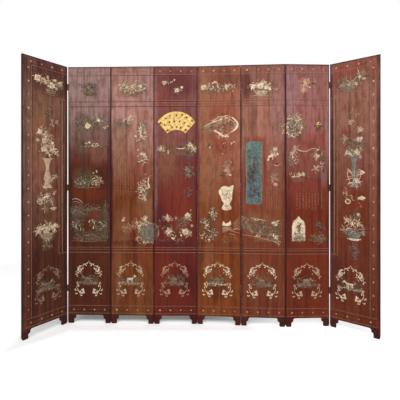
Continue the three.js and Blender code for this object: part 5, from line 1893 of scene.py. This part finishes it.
pale, dull, cool = ("ivory", "ivory", "cream", "khaki"), ("khaki", "sage", "olive"), ("slate", "sage",
        "khaki")
dark, rosy = ("olive", "moss", "pine"), ("blush", "cream", "khaki")
undergrowth = {  # for each leaf: tints, how crowded, and ellipses (u, z, half width, half height)
    1: ((pale, 0.9, (150, 2262, 56, 34), (262, 2246, 60, 40), (330, 2258, 40, 24), (176, 1800, 40, 40),
         (220, 1690, 60, 80)),
        (dull, 0.6, (250, 1980, 46, 74), (240, 1110, 60, 50), (216, 850, 66, 40), (216, 770, 50, 36),
         (300, 2230, 80, 40)),
        (pale, 0.7, (190, 1200, 56, 46), (215, 930, 84, 60), (150, 1170, 30, 24))),
    2: ((dark, 1.0, (208, 2222, 70, 60), (100, 900, 64, 50)),
        (cool, 0.8, (130, 1915, 70, 50), (310, 1920, 70, 40), (125, 1336, 72, 46)),
        (dull, 0.5, (210, 1900, 150, 40), (250, 1690, 140, 30), (200, 1360, 110, 60), (300, 950, 80, 70),
         (200, 820, 160, 40), (170, 1100, 130, 40)),
        (pale, 0.5, (290, 1938, 34, 30), (230, 1692, 60, 24), (276, 1356, 46, 46), (320, 920, 30, 40),
         (70, 930, 30, 34)), (("pine", "moss"), 0.5, (150, 1350, 80, 60))),
    3: ((pale, 0.8, (120, 2244, 60, 44), (260, 2246, 80, 48), (200, 2210, 70, 40), (190, 1936, 46, 36)),
        (dull, 0.8, (90, 1884, 90, 34), (300, 1830, 50, 100)),
        (pale, 0.55, (296, 1830, 44, 100), (300, 1560, 46, 60), (306, 1280, 56, 96)),
        (rosy, 0.6, (150, 905, 54, 44), (250, 950, 60, 50))),
    4: ((pale, 0.7, (110, 2286, 46, 14), (222, 2214, 30, 24)),
        (dull, 0.6, (110, 1636, 80, 60), (340, 1650, 64, 70), (330, 1250, 40, 50), (250, 940, 50, 50)),
        (cool, 0.8, (336, 1440, 54, 60), (280, 970, 50, 40)),
        (pale, 0.7, (130, 990, 50, 24), (320, 1004, 40, 36), (142, 866, 46, 40), (306, 860, 54, 44),
         (340, 1680, 44, 40), (76, 1650, 30, 30)),
        (("plum", "khaki"), 0.5, (180, 790, 120, 26))),
    5: ((pale, 0.6, (210, 2236, 160, 36), (230, 1940, 90, 24), (352, 1886, 26, 50), (226, 1790, 60, 30)),
        (dull, 0.4, (210, 1870, 110, 50), (100, 1840, 60, 30)),
        (dark, 0.6, (123, 1673, 30, 32)), (("coral", "umber", "cream"), 0.4, (250, 1672, 60, 60)),
        (cool, 0.7, (66, 1846, 34, 24)), (rosy, 0.9, (290, 1480, 42, 66)),
        (dark, 0.8, (145, 1040, 36, 50), (72, 955, 36, 34), (145, 860, 44, 40), (90, 880, 36, 30),
         (105, 800, 36, 24)),
        (pale, 0.28, (145, 1040, 36, 50), (72, 955, 36, 34), (145, 860, 44, 40), (60, 830, 26, 24),
         (105, 800, 36, 24))),
    6: ((pale, 0.8, (130, 2240, 56, 36), (220, 2240, 60, 44)), (pale, 0.9, (394, 1842, 16, 44)),
        (("sage", "slate"), 0.9, (236, 2180, 34, 24)), (dull, 0.4, (345, 1890, 56, 60), (200, 2200, 120, 36)),
        (pale, 0.6, (300, 1610, 36, 44)),
        (rosy, 0.6, (306, 1380, 40, 34)), (dull, 0.55, (60, 940, 56, 76), (180, 925, 60, 60),
                                           (300, 860, 60, 70), (330, 960, 34, 50))),
    7: ((rosy, 0.5, (180, 2250, 60, 50)), (dull, 0.6, (308, 1860, 36, 46), (300, 1600, 76, 60),
                                           (317, 826, 52, 54)), (cool, 0.7, (80, 1860, 60, 70)),
        (pale, 0.7, (80, 1950, 60, 24), (140, 1880, 22, 60), (70, 1780, 50, 20), (20, 1860, 16, 60)),
        (pale, 0.55, (84, 1600, 46, 76), (300, 1600, 40, 14), (340, 1500, 20, 60), (96, 1410, 60, 24)),
        (("teal", "slate"), 1.0, (317, 948, 24, 20), (350, 910, 16, 16))),
    8: ((pale, 0.6, (150, 2226, 50, 30), (200, 1606, 66, 34)),
        (cool, 0.9, (170, 1880, 40, 24), (256, 1806, 34, 26), (132, 1740, 44, 24), (248, 1722, 44, 28),
         (200, 1630, 70, 40), (280, 2290, 60, 30), (110, 2270, 44, 36)),
         (dull, 0.6, (200, 1690, 80, 60), (206, 1040, 56, 60)),
        (("pewter", "slate", "khaki"), 0.9, (206, 1440, 30, 60), (206, 890, 80, 44)),
        (pale, 0.3, (206, 960, 76, 40), (150, 1200, 36, 46), (250, 1190, 40, 26))),
}


starbursts = {  # for each leaf: tints, how many rays, and points (u, z, reach)
    1: ((pale, 13, (150, 1790, 44), (190, 1760, 40), (266, 1640, 44), (190, 1640, 44), (230, 1600, 50),
         (300, 1610, 34), (130, 2262, 40), (262, 2230, 54)),
        (("cream", "khaki"), 10, (250, 1352, 44), (200, 1304, 40), (286, 1400, 34), (286, 1250, 30),
         (160, 1190, 50), (190, 1110, 40), (260, 1160, 36)),
        (pale, 14, (150, 920, 60), (216, 940, 70), (280, 930, 54), (216, 850, 60)),
        (("khaki", "olive"), 12, (216, 770, 60))),
    2: ((dark, 12, (110, 1900, 50), (210, 2240, 60)),),
    3: ((pale, 14, (300, 1840, 54), (310, 1780, 44), (312, 1600, 44), (340, 1570, 30), (300, 1290, 50),
         (320, 1200, 44)), (dull, 12, (286, 1880, 36), (120, 2240, 60), (290, 2250, 60))),
    4: ((pale, 12, (126, 1004, 40), (320, 1024, 46), (140, 880, 44), (300, 872, 46)),
        (("plum", "umber", "slate"), 12, (322, 1440, 44), (320, 1230, 40))),
    5: ((("cream", "khaki", "blush"), 12, (280, 1466, 40), (300, 1420, 30)),),
    6: ((pale, 12, (116, 2240, 50), (190, 2250, 50), (250, 2230, 40), (300, 1590, 40)),
        (("cream", "blush", "khaki"), 12, (306, 1370, 50))),
    7: ((("apricot", "blush", "cream"), 22, (180, 2256, 74), (176, 2210, 50)),
        (("khaki", "plum", "slate"), 16, (276, 2260, 56)),
        (("cream", "khaki"), 12, (290, 1590, 50), (270, 1470, 54), (140, 1410, 40)),
        (("gold", "umber"), 12, (300, 1884, 30))),
    8: ((("sage", "khaki", "cream", "slate"), 18, (120, 2240, 76), (190, 2240, 76), (262, 2286, 76)),
        (("cream", "slate", "khaki"), 12, (170, 1880, 44), (256, 1810, 44), (130, 1742, 50), (248, 1722, 44)),
        (("ivory", "cream", "khaki"), 16, (150, 1606, 50), (236, 1600, 60)),
        (("cream", "coral", "ivory"), 20, (205, 1390, 90), (205, 1340, 70)),
        (("coral", "blush"), 8, (140, 1260, 40), (250, 1130, 30))),
}


def overgrow(leaf):
    pen = drawn(leaf, "undergrowth")
    for index, (tints, crowd, *spots) in enumerate(undergrowth[leaf]):
        thicket(pen, spots, tints, leaf * 100 + index, crowd)
    for index, (tints, rays, *spots) in enumerate(starbursts[leaf]):
        burst(pen, spots, tints, leaf * 100 + index, rays)


for leaf in undergrowth:
    overgrow(leaf)
for compose in (leafOne, leafTwo, leafThree, leafFour, leafFive, leafSix, leafSeven, leafEight):
    compose()
for inlay in inlays:
    inlay.lay()
print(len(inlays), "inlays laid")


# painted light: the floor glows for the camera and in reflections, more in front of the screen, beside it and
# far off than close behind it, which lightens its shadow unevenly
stage = {
    "floorSize": 60, "floorTone": 0.85, "worldLight": 0.30,
    "wingFrom": 1.2, "glowUnder": 0.26, "glowAhead": 0.50,  # painted light the floor shows over the light it gets
    "glowLeft": 0.26, "glowRight": 0.62, "glowBeside": 0.52, "glowFar": 0.75,
    "screenHalf": (1.6, 0.6), "glowReach": 2.4,  # metres
    "underFrom": (0.25, 0.17), "aheadFrom": (0.17, -0.10), "leftFrom": (-1.15, -1.35),
    "rightFrom": (0.0, 0.95),
    "besideFrom": (1.50, 1.66),  # metres: where each glow begins and where it is full
}


def seenDirectly(tree):  # 1 for what the camera, a reflection or clear glass shows
    path = put(tree, "LightPath")
    first = sums(tree, "MAXIMUM", path.outputs["Is Camera Ray"], path.outputs["Is Glossy Ray"])
    return sums(tree, "MAXIMUM", first, path.outputs["Is Transmission Ray"])


def buildStage():
    half = stage["floorSize"] / 2
    mesh = bpy.data.meshes.new("floor")
    mesh.from_pydata([(-half, -half, 0), (half, -half, 0), (half, half, 0), (-half, half, 0)], [],
                     [(0, 1, 2, 3)])
    floor = bpy.data.objects.new("floor", mesh)
    bpy.context.scene.collection.objects.link(floor)
    material = bpy.data.materials.new("floor")
    material.use_nodes = True
    tree = material.node_tree
    tree.nodes.clear()
    tone = stage["floorTone"]
    matt = put(tree, "BsdfDiffuse", {"Color": (tone, tone, tone, 1)}).outputs[0]
    parts = put(tree, "SeparateXYZ", {0: put(tree, "TexCoord").outputs["Object"]})
    side, ahead = parts.outputs[0], parts.outputs[1]
    out = sums(tree, "ABSOLUTE", side, 0)
    lead = sums(tree, "ADD", ahead, sums(tree, "MAXIMUM", sums(tree, "SUBTRACT", out, stage["wingFrom"]), 0))
    glows = [  # painted light on the floor: in front of the leaves, under the end leaves, beside the row, and far away
        window(tree, lead, *stage["underFrom"], 0, stage["glowUnder"]),
        window(tree, lead, *stage["aheadFrom"], 0, stage["glowAhead"]),
        window(tree, side, *stage["leftFrom"], 0, stage["glowLeft"]),
        window(tree, side, *stage["rightFrom"], 0, stage["glowRight"]),
        window(tree, out, *stage["besideFrom"], 0, stage["glowBeside"]),
    ]
    away = [sums(tree, "SUBTRACT", out, stage["screenHalf"][0]),
            sums(tree, "SUBTRACT", sums(tree, "ABSOLUTE", ahead, 0), stage["screenHalf"][1])]
    glows.append(window(tree, sums(tree, "MAXIMUM", *away), 0, stage["glowReach"], 0, stage["glowFar"]))
    total = glows[0]
    for glow in glows[1:]:
        total = sums(tree, "MAXIMUM", total, glow)
    strength = sums(tree, "MULTIPLY", seenDirectly(tree), total)
    glow = put(tree, "Emission", {"Color": (1, 1, 1, 1), "Strength": strength}).outputs[0]
    both = put(tree, "AddShader", {0: matt, 1: glow}).outputs[0]
    tree.links.new(both, put(tree, "OutputMaterial").inputs["Surface"])
    mesh.materials.append(material)

    world = bpy.data.worlds.new("world")
    world.use_nodes = True
    tree = world.node_tree
    tree.nodes.clear()
    strength = window(tree, seenDirectly(tree), 0, 1, stage["worldLight"], 1.0, False)
    sky = put(tree, "Background", {"Color": (1, 1, 1, 1), "Strength": strength}).outputs[0]
    tree.links.new(sky, put(tree, "OutputWorld").inputs["Surface"])
    bpy.context.scene.world = world


lamps = {  # name: place, point aimed at, size in metres, watts
    "key": ((-1.5, -3.6, 5.0), (0.0, 0.0, 1.1), 3.5, 185),
    "fill": ((2.2, -3.8, 4.4), (0.0, 0.0, 1.0), 3.2, 120),
    "back": ((0.0, 4.5, 4.0), (0.0, 0.0, 1.2), 3.0, 25),
}


def placeLamps():
    for name, (place, target, size, watts) in lamps.items():
        data = bpy.data.lights.new(name, "AREA")
        data.shape = "SQUARE"
        data.size = size
        data.energy = watts
        lamp = bpy.data.objects.new(name, data)
        lamp.location = place
        lamp.rotation_euler = (Vector(target) - Vector(place)).to_track_quat("-Z", "Y").to_euler()
        bpy.context.scene.collection.objects.link(lamp)


buildStage()
placeLamps()
bpy.context.scene.view_settings.view_transform = "Standard"
print("stage set")
